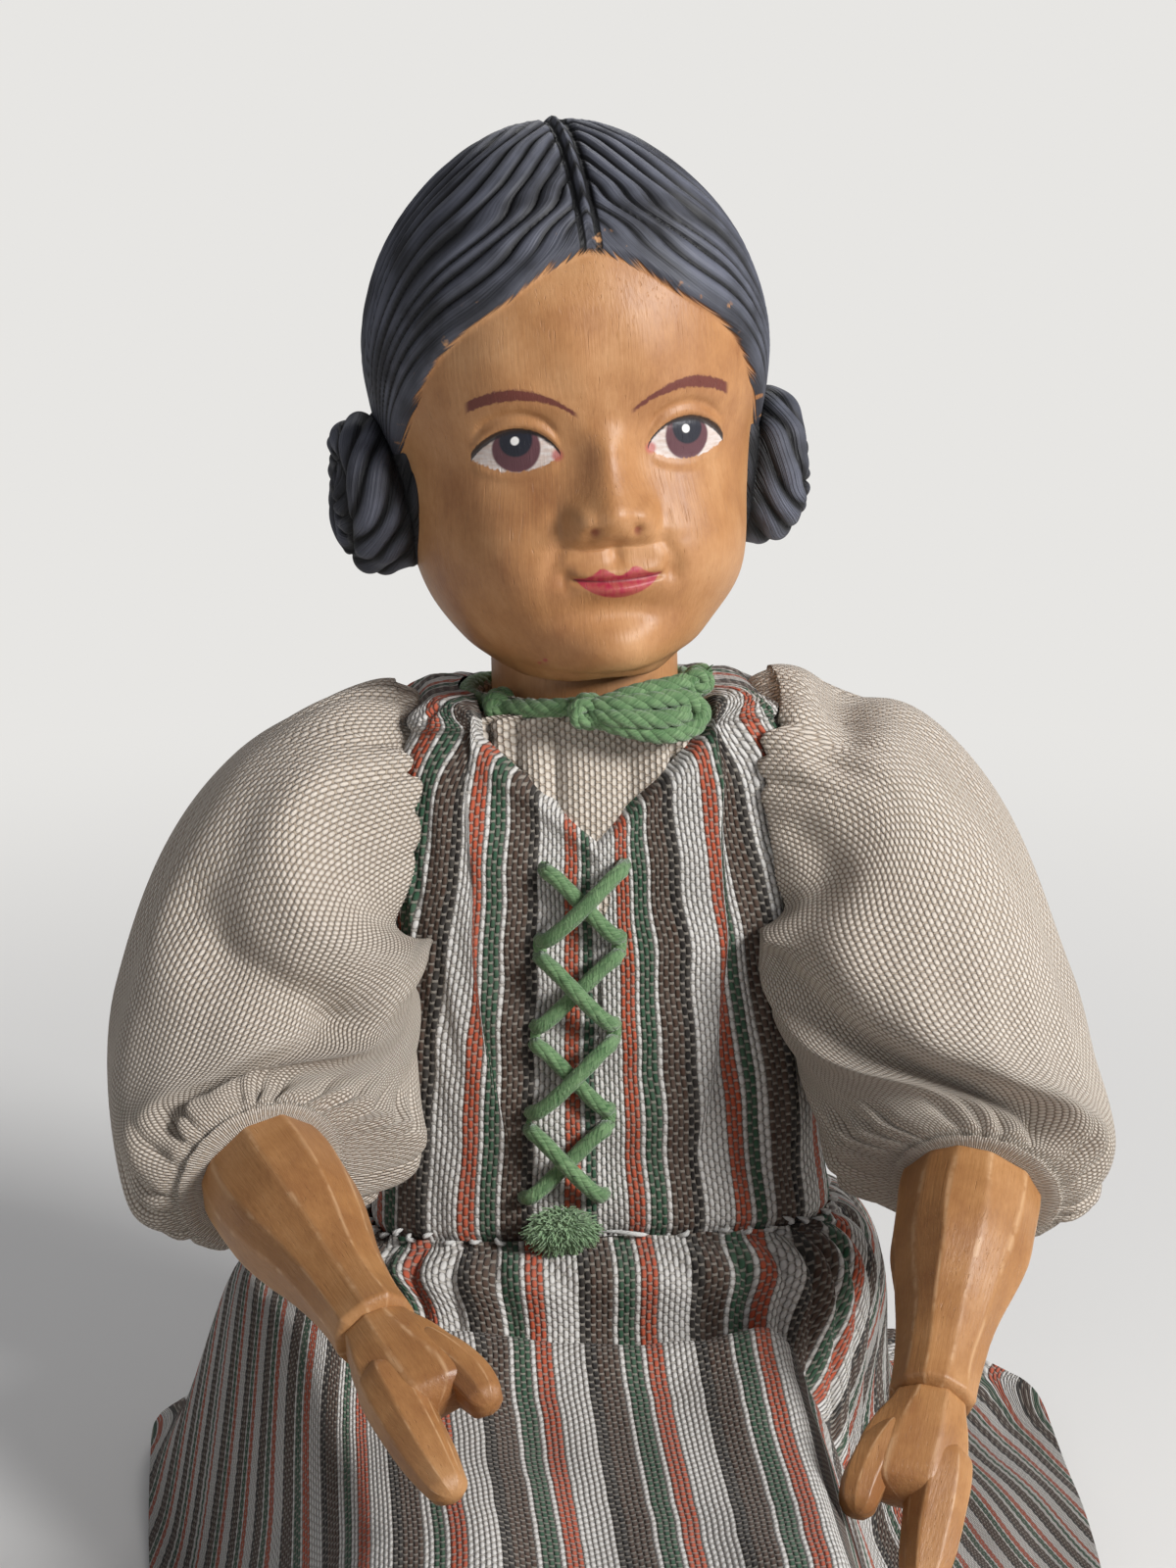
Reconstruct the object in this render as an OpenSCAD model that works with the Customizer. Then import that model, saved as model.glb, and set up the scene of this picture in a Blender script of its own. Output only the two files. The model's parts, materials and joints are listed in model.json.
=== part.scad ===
// A carved wooden doll with pegged joints, seated, in a laced bodice, puffed sleeves and a gathered skirt.
// It looks along -Y with +Z up, and +X is its own left. The origin is the middle of its flat seat.

/* [Pose] */
// How far the trunk leans back, degrees
back_lean = 6; // [0:1:10]
// How far the trunk leans to its own left, degrees
side_lean = -1; // [-3:1:3]
// Turn of the head to its own left, degrees
head_turn = 6; // [-15:1:15]
// Carved tilt of the head to its own left, degrees
head_tilt = -2; // [-6:1:6]
// Forward swing of the left arm, degrees
left_swing = 34; // [20:1:45]
// Forward swing of the right arm, degrees
right_swing = 44; // [30:1:50]
// Bend of the left elbow, degrees
left_bend = 40; // [30:1:60]
// Bend of the right elbow, degrees
right_bend = 48; // [30:1:60]

/* [Head] */
// Chin to crown
head_h = 58; // [52:1:64]
// Width over the hair
head_w = 43; // [38:1:48]
// Brow to the back of the head
head_depth = 46; // [42:1:50]
// Thickness of the carved hair above the face
hair_t = 0.9; // [0.5:0.1:1.5]
// How far the nose stands out
nose_out = 4.6; // [3:0.2:6]
// Diameter of each coiled braid
bun_d = 17.5; // [15:0.5:20]
// How far each coiled braid stands out from its seat
bun_t = 8.5; // [6:0.5:10]
// Diameter of the neck
neck_d = 20; // [18:0.5:21]

/* [Trunk] */
// Seat to the top of the shoulders
trunk_h = 84; // [80:1:90]
// Width at the hips
hip_w = 42; // [40:1:46]
// Width at the waist
waist_w = 41; // [38:1:44]
// Width at the chest
chest_w = 38.5; // [37:0.5:42]
// Front to back at the waist
waist_depth = 25; // [23:0.5:28]
// Front to back at the chest
chest_depth = 26; // [24:0.5:30]
// Height of the waist seam above the seat
waist_z = 29.5; // [28:0.5:34]
// How far the shoulder pegs lie below the top of the shoulders
shoulder_drop = 10; // [8:0.5:13]
// Radius of the round hip block
hip_r = 12; // [11.5:0.25:13]
// Height of the hip dowel above the seat
hip_z = 10.2; // [10:0.1:11]

/* [Arms] */
// Shoulder peg to elbow peg, as a share of the trunk's height
upper_arm_share = 0.476; // [0.44:0.004:0.52]
// Elbow peg to wrist
forearm_l = 37; // [34:0.5:40]
// Wrist to finger tips
hand_l = 21; // [18:0.5:24]
// Diameter of the shoulder disc
shoulder_d = 18; // [16:0.5:19]
// Diameter of the upper arm at the elbow
upper_arm_d = 12.6; // [12:0.2:13.4]
// Largest diameter of the forearm
forearm_d = 14.6; // [13:0.2:15.4]
// Diameter of the wrist
wrist_d = 7; // [6:0.2:8]
// Width of the hand across the knuckles
hand_w = 10.4; // [9:0.2:12]

/* [Legs] */
// Distance of each leg from the middle
leg_x = 10.5; // [10.2:0.1:11]
// Hip dowel to knee peg
thigh_l = 58; // [54:1:62]
// Knee peg to sole
shin_l = 64; // [58:1:70]
// Diameter of the thigh at the top
thigh_d = 18.4; // [17:0.2:18.8]
// Diameter of the knee
knee_d = 14.4; // [13.5:0.1:15]
// Length of the carved shoe
shoe_l = 29; // [26:0.5:32]
// Width of the carved shoe
shoe_w = 13; // [12:0.5:15]

/* [Pegs] */
// Diameter of the neck peg
neck_peg_d = 8; // [6:0.5:10]
// Diameter of the shoulder pegs
shoulder_peg_d = 5; // [4:0.25:6]
// Diameter of the elbow pegs
elbow_peg_d = 2.6; // [2:0.1:3]
// Diameter of the hip dowel
hip_peg_d = 5; // [4:0.25:6]
// Diameter of the knee pegs
knee_peg_d = 3.2; // [2.5:0.1:4]
// Thickness of the hip tongues
hip_tongue_t = 7; // [6:0.2:8]
// Thickness of the knee tongues
knee_tongue_t = 4.8; // [4:0.2:5.4]
// Thickness of the elbow tongues
elbow_tongue_t = 4.4; // [3.8:0.2:5]

/* [Clothes] */
// Thickness of the blouse linen
linen_t = 0.8; // [0.6:0.1:1]
// Thickness of the striped cloth
stripe_t = 0.9; // [0.7:0.1:1.1]
// Radius of the armholes
armhole_r = 11.6; // [11.2:0.1:12.2]
// Fullness of the puffed sleeves
sleeve_puff = 9.5; // [7:0.5:11]
// Where the sleeve is gathered, past the elbow peg
cuff_at = 10; // [9:0.5:12]
// Depth of the neckline below the shoulders
neckline_depth = 11; // [8:0.5:16]
// How far the hem lies in front of the seat
hem_front = 104; // [95:1:112]
// How far the hem lies behind the seat
hem_back = 31; // [28:1:36]
// How far the hem spreads to each side
hem_side = 50; // [46:1:56]
// Depth of the skirt's folds
fold_depth = 1.6; // [1:0.2:2]

/* [Yarn] */
// Diameter of the lacing yarn
lace_d = 1.5; // [1.2:0.1:1.8]
// Diameter of the neck tie
tie_d = 2; // [1.6:0.1:2.2]
// Width of the lacing between its holes
lace_w = 8.4; // [7:0.2:10]

/* [Hidden] */
$fn = 48;

// Clearances and overruns
peg_clear = 0.05;
side_clear = 0.3;
swing_clear = 0.5;
layer_gap = 0.3;
over = 40;

// Shape helpers
function lerp(a, b, s) = a + (b - a) * s;
function clamp(s) = max(0, min(1, s));
function smooth(s) = let (c = clamp(s)) c * c * (3 - 2 * c);
function bump(x) = exp(-x * x);
function power(c, n) = sign(c) * pow(abs(c), 2 / n);
function unit(v) = v / norm(v);

// A smooth curve through the points (xs, ys)
function slope(xs, ys, i) =
    let (a = max(0, i - 1), b = min(len(xs) - 1, i + 1)) (ys[b] - ys[a]) / (xs[b] - xs[a]);
function span(xs, x, i = 0) = (i >= len(xs) - 2 || x < xs[i + 1]) ? i : span(xs, x, i + 1);
function curve(xs, ys, x) =
    let (
        i = span(xs, x),
        h = xs[i + 1] - xs[i],
        s = clamp((x - xs[i]) / h),
        da = slope(xs, ys, i) * h,
        db = slope(xs, ys, i + 1) * h
    )
    ys[i] * (2 * s ^ 3 - 3 * s ^ 2 + 1) + da * (s ^ 3 - 2 * s ^ 2 + s)
    + ys[i + 1] * (3 * s ^ 2 - 2 * s ^ 3) + db * (s ^ 3 - s ^ 2);

// Rotations of a point, as rotate() turns a shape
function turn_x(p, a) = [p.x, p.y * cos(a) - p.z * sin(a), p.y * sin(a) + p.z * cos(a)];
function turn_y(p, a) = [p.x * cos(a) + p.z * sin(a), p.y, p.z * cos(a) - p.x * sin(a)];
function turn_z(p, a) = [p.x * cos(a) - p.y * sin(a), p.x * sin(a) + p.y * cos(a), p.z];
function lean(p) = turn_y(turn_x(p, -back_lean), side_lean);
function ring_middle(ring) = [for (k = [0:2]) [for (p = ring) p[k]] * [for (p = ring) 1] / len(ring)];

// Faces between ring j and ring k of n points each
function band(j, k, n) = [
    for (i = [0:n - 1])
        let (m = (i + 1) % n)
        each [[j * n + i, k * n + i, k * n + m], [j * n + i, k * n + m, j * n + m]]
];

// A solid through rings that run anticlockwise about the way they are stacked
module skin(rings) {
    n = len(rings[0]);
    last = len(rings) - 1;
    points = concat([for (r = rings) each r], [ring_middle(rings[0]), ring_middle(rings[last])]);
    foot = n * (last + 1);
    faces = concat(
        [for (j = [0:last - 1]) each band(j, j + 1, n)],
        [for (i = [0:n - 1]) [foot, i, (i + 1) % n]],
        [for (i = [0:n - 1]) [foot + 1, last * n + (i + 1) % n, last * n + i]]
    );
    polyhedron(points, faces);
}

// A closed ring of rings, as a cloth shell or a tube that meets itself has
module loop_skin(rings) {
    n = len(rings[0]);
    m = len(rings);
    polyhedron([for (r = rings) each r], [for (j = [0:m - 1]) each band(j, (j + 1) % m, n)]);
}

// The way out of a grid of rings at one of its points
function way_out(g, j, i) =
    let (
        n = len(g[0]),
        a = max(0, j - 1),
        b = min(len(g) - 1, j + 1),
        around = g[j][(i + 1) % n] - g[j][(i + n - 1) % n],
        along = g[b][i] - g[a][i]
    )
    unit(cross(around, along));

// A cloth of thickness t that lies inside the grid of rings g
module cloth(g, t) {
    inner = [
        for (j = [len(g) - 1:-1:0])
            [for (i = [0:len(g[0]) - 1]) g[j][i] - t * way_out(g, j, i)]
    ];
    loop_skin(concat(g, inner));
}

// A round cord of diameter d along the points of a route
yarn_sides = 8;
function heading(route, k) =
    unit(route[min(len(route) - 1, k + 1)] - route[max(0, k - 1)]);
function carried(route, k, v) =
    let (h = heading(route, k), side = unit(v - h * (v * h)))
    k == len(route) - 1 ? [side] : concat([side], carried(route, k + 1, side));
function cord_rings(route, d, up) =
    let (sides = carried(route, 0, up))
    [
        for (k = [0:len(route) - 1])
            let (h = heading(route, k), b = cross(h, sides[k]))
            [
                for (i = [0:yarn_sides - 1])
                    let (a = i * 360 / yarn_sides)
                    route[k] + d / 2 * (cos(a) * sides[k] + sin(a) * b)
            ]
    ];
module cord(route, d, up) skin(cord_rings(route, d, up));

// A route with points between its own, on a smooth curve
function route_at(route, s) =
    let (ks = [for (k = [0:len(route) - 1]) k])
    [for (c = [0:2]) curve(ks, [for (p = route) p[c]], s)];
function finer(route, steps) =
    [for (k = [0:(len(route) - 1) * steps]) route_at(route, k / steps)];

// Trunk: half widths and half depths at heights above the seat
trunk_foot_z = 5;
shoulder_z = trunk_h - shoulder_drop;
top_w = 34;
top_depth = 21;
trunk_sides = 32;
trunk_ring_shares = [0, 0.12, 0.24, 0.36, 0.48, 0.6, 0.7, 0.8, 0.86, 0.9, 0.93, 0.955, 0.975, 0.99, 1];
trunk_round = 2.6;
shoulder_w_share = 1;
chest_rise_share = 0.66;
collar_w_share = 1;
collar_rise_share = 0.55;
shoulder_depth_share = 0.94;
trunk_zs = [
    trunk_foot_z, waist_z, lerp(waist_z, shoulder_z, chest_rise_share), shoulder_z,
    lerp(shoulder_z, trunk_h, collar_rise_share), trunk_h
];
trunk_hws = [hip_w, waist_w, chest_w, chest_w * shoulder_w_share, chest_w * collar_w_share, top_w] / 2;
trunk_hds = [
    waist_depth, waist_depth, chest_depth, chest_depth * shoulder_depth_share,
    lerp(chest_depth * shoulder_depth_share, top_depth, collar_rise_share), top_depth
] / 2;
function trunk_ring(z, out) =
    let (hw = curve(trunk_zs, trunk_hws, z) + out, hd = curve(trunk_zs, trunk_hds, z) + out)
    [
        for (i = [0:trunk_sides - 1])
            let (a = i * 360 / trunk_sides)
            [hw * power(cos(a), trunk_round), hd * power(sin(a), trunk_round), z]
    ];
// A layer that lies a distance out from the trunk, square to its side
slope_step = 0.5;
function trunk_slope(z) =
    let (a = min(z + slope_step, trunk_h), b = z - slope_step)
    (curve(trunk_zs, trunk_hws, a) - curve(trunk_zs, trunk_hws, b)) / (a - b);
function cover_ring(z, out) =
    let (m = trunk_slope(z), n = sqrt(1 + m * m))
    [for (p = trunk_ring(z, out / n)) p - [0, 0, m * out / n]];
module leaning() rotate([-back_lean, side_lean, 0]) children();

// Layers over the trunk
cover_shares = [0, 0.25, 0.5, 0.7, 0.82, 0.9, 0.95, 0.982];
corner_share = 0.85;
function corner_ring(out) = [for (p = trunk_ring(trunk_h, corner_share * out)) p + [0, 0, out]];
blouse_in = layer_gap;
blouse_out = blouse_in + linen_t;
bodice_in = blouse_out + layer_gap;
bodice_out = bodice_in + stripe_t;
waist_ease = 0.9;

// Shoulders: a flat seat on the trunk and a disc on the arm
seat_depth = 1;
shoulder_face_x = chest_w * shoulder_w_share / 2 - seat_depth;
arm_face_x = shoulder_face_x + side_clear;
disc_t = 11;
arm_axis_x = 7.4;
arm_cant = 20;
elbow_twist = -62;
peg_sink = 9;
peg_head_d = 8.5;
peg_head_t = 1.8;

// Elbows
upper_arm_l = trunk_h * upper_arm_share;
elbow_r_share = 0.516;
elbow_w_share = 0.49;
elbow_wall = 1;
elbow_r = upper_arm_d * elbow_r_share;
elbow_half_w = upper_arm_d * elbow_w_share;
elbow_tongue_r = elbow_r - elbow_wall;
elbow_floor = 0.7;
peg_inset = 0.4;

// Hips and knees
tongue_root_share = 1.2;
hip_tongue_share = 0.667;
knee_w_share = 0.944;
hip_tongue_r = hip_r * hip_tongue_share;
thigh_start = hip_r + swing_clear;
knee_r = knee_d / 2;
knee_half_w = knee_r * knee_w_share;
knee_tongue_r = knee_r - swing_clear;
dowel_inset = 0.8;

// Head
neck_show = 4.4;
head_z = trunk_h + neck_show;
neck_gap = 0.3;
neck_into_head = 14;
neck_peg_up = 16;
neck_peg_down = 18;
head_rings = 38;
head_sides = 60;
crown_crowding = 1.35;
head_round = 2.15;
front_crowding = 20;
head_t_shares = [0, 0.03, 0.08, 0.16, 0.25, 0.34, 0.43, 0.52, 0.61, 0.7, 0.79, 0.87, 0.94, 0.985, 1];
head_w_shares = [0.3, 0.42, 0.58, 0.735, 0.815, 0.85, 0.88, 0.935, 0.955, 0.915, 0.82, 0.665, 0.455, 0.22, 0.02];
head_front_shares = [0.5, 0.66, 0.76, 0.8, 0.82, 0.83, 0.835, 0.88, 0.91, 0.89, 0.81, 0.67, 0.455, 0.22, 0.02];
head_back_shares = [0.4, 0.43, 0.48, 0.58, 0.72, 0.83, 0.91, 0.975, 1, 0.965, 0.87, 0.71, 0.485, 0.235, 0.02];
hairline_angles = [0, 25, 45, 60, 75, 90, 110, 140, 180];
hairline_shares = [0.775, 0.735, 0.655, 0.56, 0.46, 0.36, 0.22, 0.13, 0.1];
hairline_blend_share = 0.022;
face_edge_share = 0.2;
face_blend_share = 0.6;
parting_share = 0.03;
parting_depth_share = 0.6;
bun_t_share = 0.36;
bun_back = 2;
bun_seat_in = 1.4;
bun_lumps = 6;
bun_lump_share = 0.05;

// Head features: height share, side share, height spread, side spread and depth, as shares of the head
feature_shares = [
    [0.425, 0.43, 0.06, 0.24, -0.03],
    [0.415, 0.43, 0.025, 0.13, 0.016],
    [0.245, 0.5, 0.09, 0.26, 0.028],
    [0.19, 0, 0.03, 0.22, 0.022],
    [0.135, 0, 0.028, 0.24, -0.022],
    [0.075, 0, 0.05, 0.22, 0.03],
    [0.225, 0, 0.03, 0.06, -0.01]
];
nose_t_shares = [0.255, 0.272, 0.295, 0.33, 0.38, 0.44, 0.5];
nose_out_shares = [0, 0.72, 1, 0.78, 0.48, 0.22, 0];
nose_w_shares = [0.2, 0.2, 0.17, 0.13, 0.11, 0.11, 0.12];

// Arms and legs: share of the length, share of the diameter
limb_sides = 16;
carved_sides = 10;
forearm_l_shares = [0, 0.12, 0.3, 0.55, 0.8, 0.95, 1];
forearm_d_shares = [0.88, 0.99, 1, 0.84, 0.6, 0.5, 0.48];
thigh_l_shares = [0, 0.15, 0.4, 0.7, 0.85, 1];
thigh_taper_share = 0.85;
calf_l_shares = [0, 0.2, 0.45, 0.7, 0.88, 1];
calf_d_shares = [0.94, 1, 0.98, 0.8, 0.66, 0.66];
calf_d = 14.2;
hand_roll = 250;
hand_t = 6.6;
hand_l_shares = [0, 0.12, 0.3, 0.5, 0.7, 0.88, 1];
hand_w_shares = [0.7, 0.86, 0.96, 0.66, 0.56, 0.46, 0.28];
hand_t_shares = [0.98, 0.95, 1, 0.86, 0.7, 0.56, 0.34];
hand_curl = 2.2;
finger_shift = 2;
thumb_l_shares = [0.06, 0.2, 0.36, 0.5, 0.6];
thumb_w_shares = [0.5, 0.6, 0.5, 0.4, 0.22];
thumb_t_share = 1.3;
thumb_out_shares = [0.12, 0.22, 0.32, 0.39, 0.42];
shoe_l_shares = [0, 0.06, 0.2, 0.4, 0.6, 0.8, 0.94, 1];
shoe_w_shares = [0.5, 0.66, 0.74, 0.76, 0.92, 1, 0.72, 0.36];
shoe_h_shares = [0.7, 0.85, 0.95, 1, 0.82, 0.62, 0.46, 0.3];
shoe_h = 15;
heel_back = 10;
ankle_share = 0.6;
sole_t = 1.6;
sole_edge = 0.6;

// Skirt
skirt_sides = 40;
skirt_rings = 11;
skirt_crowding = 1.6;
skirt_round = 2.7;
floor_gap = 0.4;
lap_half = 15.6;
lap_fall = 11.5;
lap_rise = 1.2;
puff_half = 27;
puff_fall = 17;
puff_h = 4;
puff_x = 29;
puff_w = 12;
puff_y = 12;
puff_l = 24;
waist_drop = 6;
back_fall = 14;
lap_back = 8;
fold_count = 9;
skirt_gap = 0.25;

// Sleeves
sleeve_sides = 30;
sleeve_rings = 13;
sleeve_gathers = 10;
gather_depth = 0.5;
sleeve_fold = 1.5;
sleeve_reach = 4;
sleeve_crest = 11;
sleeve_rise = 0;
sleeve_lean = 2.6;
sleeve_ins = [3.5, 0];
sleeve_in_at = 0.4;
sleeve_in_spread = 0.3;
puff_shares = [0.94, 0.86];
cuff_clear = 0.4;
lobe_shares = [0.62, 0.38, 0.12];
sleeve_end_share = 6;
armpit_share = 1.1;
hug_share = 4;
side_end_share = 0.95;
fold_slant = 200;
fold_start = 40;
full_crowding = 0.9;
full_power = 0.6;

// Collar, tie and lacing
collar_h = 1.8;
collar_flare_share = 0.35;
collar_foot_z = trunk_h + blouse_out + layer_gap / 2;
collar_gap = 0.45;
tie_z = trunk_h + blouse_out + layer_gap + tie_d / 2;
lace_drop = 2.4;
lace_top = trunk_h - neckline_depth - lace_drop;
lace_rows = 4;
lace_lift = 0.2;
lace_foot = 4.2;
lace_top_x = -1.4;
lace_foot_x = -5;
tassel_w = 6.4;
tassel_h = 4;
tassel_t = 3.4;

// The head's surface at a share of its height and an angle from the front
function feature(f, t, x) =
    head_depth * f[4] * bump((t - f[0]) / f[2]) * bump((abs(x) / head_w * 2 - f[1]) / f[3]);
function features(t, x) = [for (f = feature_shares) feature(f, t, x)] * [for (f = feature_shares) 1];
function nose(t, x) =
    t < nose_t_shares[0] || t > nose_t_shares[len(nose_t_shares) - 1] ? 0
    : nose_out * curve(nose_t_shares, nose_out_shares, t)
        * bump(x / (head_w / 2 * curve(nose_t_shares, nose_w_shares, t)));
function hair(t, a, x) =
    let (over_line = smooth((t - curve(hairline_angles, hairline_shares, a)) / hairline_blend_share))
    hair_t * over_line * (1 - parting_depth_share * bump(x / (head_w * parting_share)));
function head_point(t, a) =
    let (
        near = a > 180 ? 360 - a : a,
        face = smooth((cos(a) + face_edge_share) / face_blend_share),
        hw = head_w / 2 * curve(head_t_shares, head_w_shares, t),
        hd = head_depth / 2 * curve(head_t_shares, cos(a) > 0 ? head_front_shares : head_back_shares, t),
        x = hw * power(sin(a), head_round),
        y = -hd * power(cos(a), head_round),
        d = face * features(t, x) + hair(t, near, x)
    )
    [x + d * sin(a), y - d * cos(a) - (cos(a) > 0 ? nose(t, x) : 0), t * head_h];
function head_ring(t) = [
    for (i = [0:head_sides - 1])
        let (a = i * 360 / head_sides)
        head_point(t, a - front_crowding * sin(a))
];
function crown_share(s) = 1 - pow(1 - s, crown_crowding);

bun_x = head_w / 2 * curve(head_t_shares, head_w_shares, bun_t_share) - bun_seat_in;
bun_z = head_h * bun_t_share;

module on_neck() leaning() translate([0, 0, head_z]) rotate([0, 0, head_turn]) children();
module on_head() on_neck() rotate([0, head_tilt, 0]) children();
module bun_seat() translate([0, bun_back, bun_z]) rotate([0, 90, 0]) children();

module head() color("peru") difference() {
    union() {
        on_head() difference() {
            skin([for (j = [0:head_rings]) head_ring(crown_share(j / head_rings))]);
            for (side = [0, 1])
                mirror([side, 0, 0]) translate([bun_x, 0, 0]) bun_seat()
                    cylinder(d = bun_d * (1 + bun_lump_share) + layer_gap, h = over);
        }
        on_neck() translate([0, 0, -head_z + trunk_h + neck_gap])
            cylinder(d = neck_d, h = neck_into_head);
    }
    on_neck() translate([0, 0, -head_z]) cylinder(d = neck_peg_d + 2 * peg_clear, h = trunk_h + neck_peg_up);
}

// A coiled braid: two turns with a groove between them and strands that wind round
bun_out_shares = [0, 0.26, 0.52, 0.74, 0.86, 0.84, 0.94, 1, 0.98];
bun_r_shares = [0.92, 1, 0.97, 0.85, 0.68, 0.56, 0.44, 0.24, 0.02];
bun_twist = 55;
bun_sides = 36;
function bun_ring(k) = [
    for (i = [0:bun_sides - 1])
        let (
            a = i * 360 / bun_sides,
            strand = sin(bun_lumps * a + bun_twist * k),
            hold = k == 0 || k == len(bun_r_shares) - 1 ? 0 : bun_lump_share,
            r = bun_d / 2 * bun_r_shares[k] * (1 + hold * strand)
        )
        [r * cos(a), r * sin(a), bun_t * bun_out_shares[k] * (1 + hold * strand)]
];
module braid_bun(side) color("dimgray") on_head() mirror([side, 0, 0]) translate([bun_x, 0, 0])
    bun_seat() skin([for (k = [0:len(bun_r_shares) - 1]) bun_ring(k)]);

module neck_peg() color("burlywood") on_neck() translate([0, 0, -head_z + trunk_h - neck_peg_down])
    cylinder(d = neck_peg_d, h = neck_peg_down + neck_peg_up - side_clear);

// Trunk with its hip slots, neck socket and shoulder seats
module hip_slots() for (x = [-leg_x, leg_x]) translate([x - hip_tongue_t / 2 - side_clear, 0, hip_z]) {
    width = hip_tongue_t + 2 * side_clear;
    reach = hip_tongue_r + swing_clear;
    translate([0, -over, -over]) cube([width, over, over + reach]);
    translate([0, -over, -over]) cube([width, over + reach, over]);
    rotate([0, 90, 0]) cylinder(r = reach, h = width);
}
module torso() color("tan") difference() {
    union() {
        leaning() skin([
            for (s = trunk_ring_shares) trunk_ring(lerp(trunk_foot_z, trunk_h, s), 0)
        ]);
        translate([-hip_w / 2, 0, hip_z]) rotate([0, 90, 0]) cylinder(r = hip_r, h = hip_w);
    }
    translate([-over, -over, -over]) cube([2 * over, 2 * over, over]);
    hip_slots();
    translate([-hip_w, 0, hip_z]) rotate([0, 90, 0]) cylinder(d = hip_peg_d + 2 * peg_clear, h = 2 * hip_w);
    leaning() {
        translate([0, 0, trunk_h - neck_peg_down - side_clear])
            cylinder(d = neck_peg_d + 2 * peg_clear, h = over);
        for (side = [0, 1]) mirror([side, 0, 0]) translate([shoulder_face_x, 0, shoulder_z]) rotate([0, 90, 0]) {
            cylinder(d = shoulder_d + 2 * swing_clear, h = over);
            translate([0, 0, -peg_sink - side_clear]) cylinder(d = shoulder_peg_d + 2 * peg_clear, h = over);
        }
    }
}
module hip_dowel() color("burlywood") translate([-hip_w / 2 + dowel_inset, 0, hip_z]) rotate([0, 90, 0])
    cylinder(d = hip_peg_d, h = hip_w - 2 * dowel_inset);

// Arms, made for the left side and mirrored for the right
module on_shoulder(side) leaning() mirror([side, 0, 0]) translate([arm_face_x, 0, shoulder_z]) children();
module shoulder_peg(side) color("burlywood") on_shoulder(side) rotate([0, 90, 0]) {
    translate([0, 0, -side_clear - peg_sink]) cylinder(d = shoulder_peg_d, h = peg_sink + 2 * side_clear + disc_t);
    translate([0, 0, disc_t + side_clear]) cylinder(d1 = peg_head_d, d2 = shoulder_peg_d, h = peg_head_t);
}
module on_arm(side) on_shoulder(side) rotate([-(side == 0 ? left_swing : right_swing), 0, 0]) children();
module on_arm_axis(side) on_arm(side) translate([arm_axis_x, 0, 0]) rotate([0, -arm_cant, 0]) children();
module on_elbow(side) on_arm_axis(side) translate([0, 0, -upper_arm_l]) rotate([0, 0, elbow_twist]) children();

function limb_ring(z, rx, ry, n) = [
    for (i = [0:n - 1]) let (a = (i + 0.5) * 360 / n) [rx * cos(a), ry * sin(a), z]
];
upper_arm_l_shares = [0, 0.12, 0.35, 0.6, 0.85, 1];
upper_arm_d_shares = [1.04, 1.06, 1.05, 1.02, 1, 1];
module upper_arm(side) color("peru") difference() {
    union() {
        on_arm(side) rotate([0, 90, 0]) cylinder(d = shoulder_d, h = disc_t);
        on_arm_axis(side) skin([
            for (k = [len(upper_arm_l_shares) - 1:-1:0])
                let (r = upper_arm_d / 2 * upper_arm_d_shares[k])
                limb_ring(-upper_arm_l * upper_arm_l_shares[k], r, r, limb_sides)
        ]);
        on_elbow(side) translate([-elbow_half_w, 0, 0]) rotate([0, 90, 0])
            cylinder(r = elbow_r, h = 2 * elbow_half_w);
    }
    on_elbow(side) {
        translate([-elbow_tongue_t / 2 - side_clear, -over, -over])
            cube([elbow_tongue_t + 2 * side_clear, 2 * over, over + elbow_tongue_r + elbow_floor]);
        translate([-over, 0, 0]) rotate([0, 90, 0]) cylinder(d = elbow_peg_d + 2 * peg_clear, h = 2 * over);
    }
    on_shoulder(side) rotate([0, 90, 0]) {
        translate([0, 0, -over]) cylinder(d = shoulder_peg_d + 2 * peg_clear, h = 2 * over);
        translate([0, 0, disc_t]) cylinder(d = peg_head_d + 2 * swing_clear, h = over);
    }
    on_shoulder(side) translate([-over, -over, -over]) cube([over, 2 * over, 2 * over]);
}
module elbow_peg(side) color("burlywood") on_elbow(side) translate([-elbow_half_w + peg_inset, 0, 0])
    rotate([0, 90, 0]) cylinder(d = elbow_peg_d, h = 2 * (elbow_half_w - peg_inset));

// Forearm and mitten hand, cut in long flats
forearm_start = elbow_r + swing_clear;
module on_forearm(side) on_elbow(side) rotate([-(side == 0 ? left_bend : right_bend), 0, 0]) children();
module fingers() skin([
    for (k = [len(hand_l_shares) - 1:-1:0])
        let (s = hand_l_shares[k])
        [
            let (rx = hand_w / 2 * hand_w_shares[k], ry = hand_t / 2 * hand_t_shares[k])
            for (p = limb_ring(-hand_l * s, rx, ry, carved_sides))
                p + [-finger_shift * smooth(s * 2), -hand_curl * s * s, 0]
        ]
]);
module thumb() skin([
    for (k = [len(thumb_l_shares) - 1:-1:0])
        let (rx = hand_w / 2 * thumb_w_shares[k], ry = hand_t / 2 * thumb_w_shares[k] * thumb_t_share)
        [
            for (p = limb_ring(-hand_l * thumb_l_shares[k], rx, ry, limb_sides / 2))
                p + [hand_w * thumb_out_shares[k], 0, 0]
        ]
]);
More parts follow.
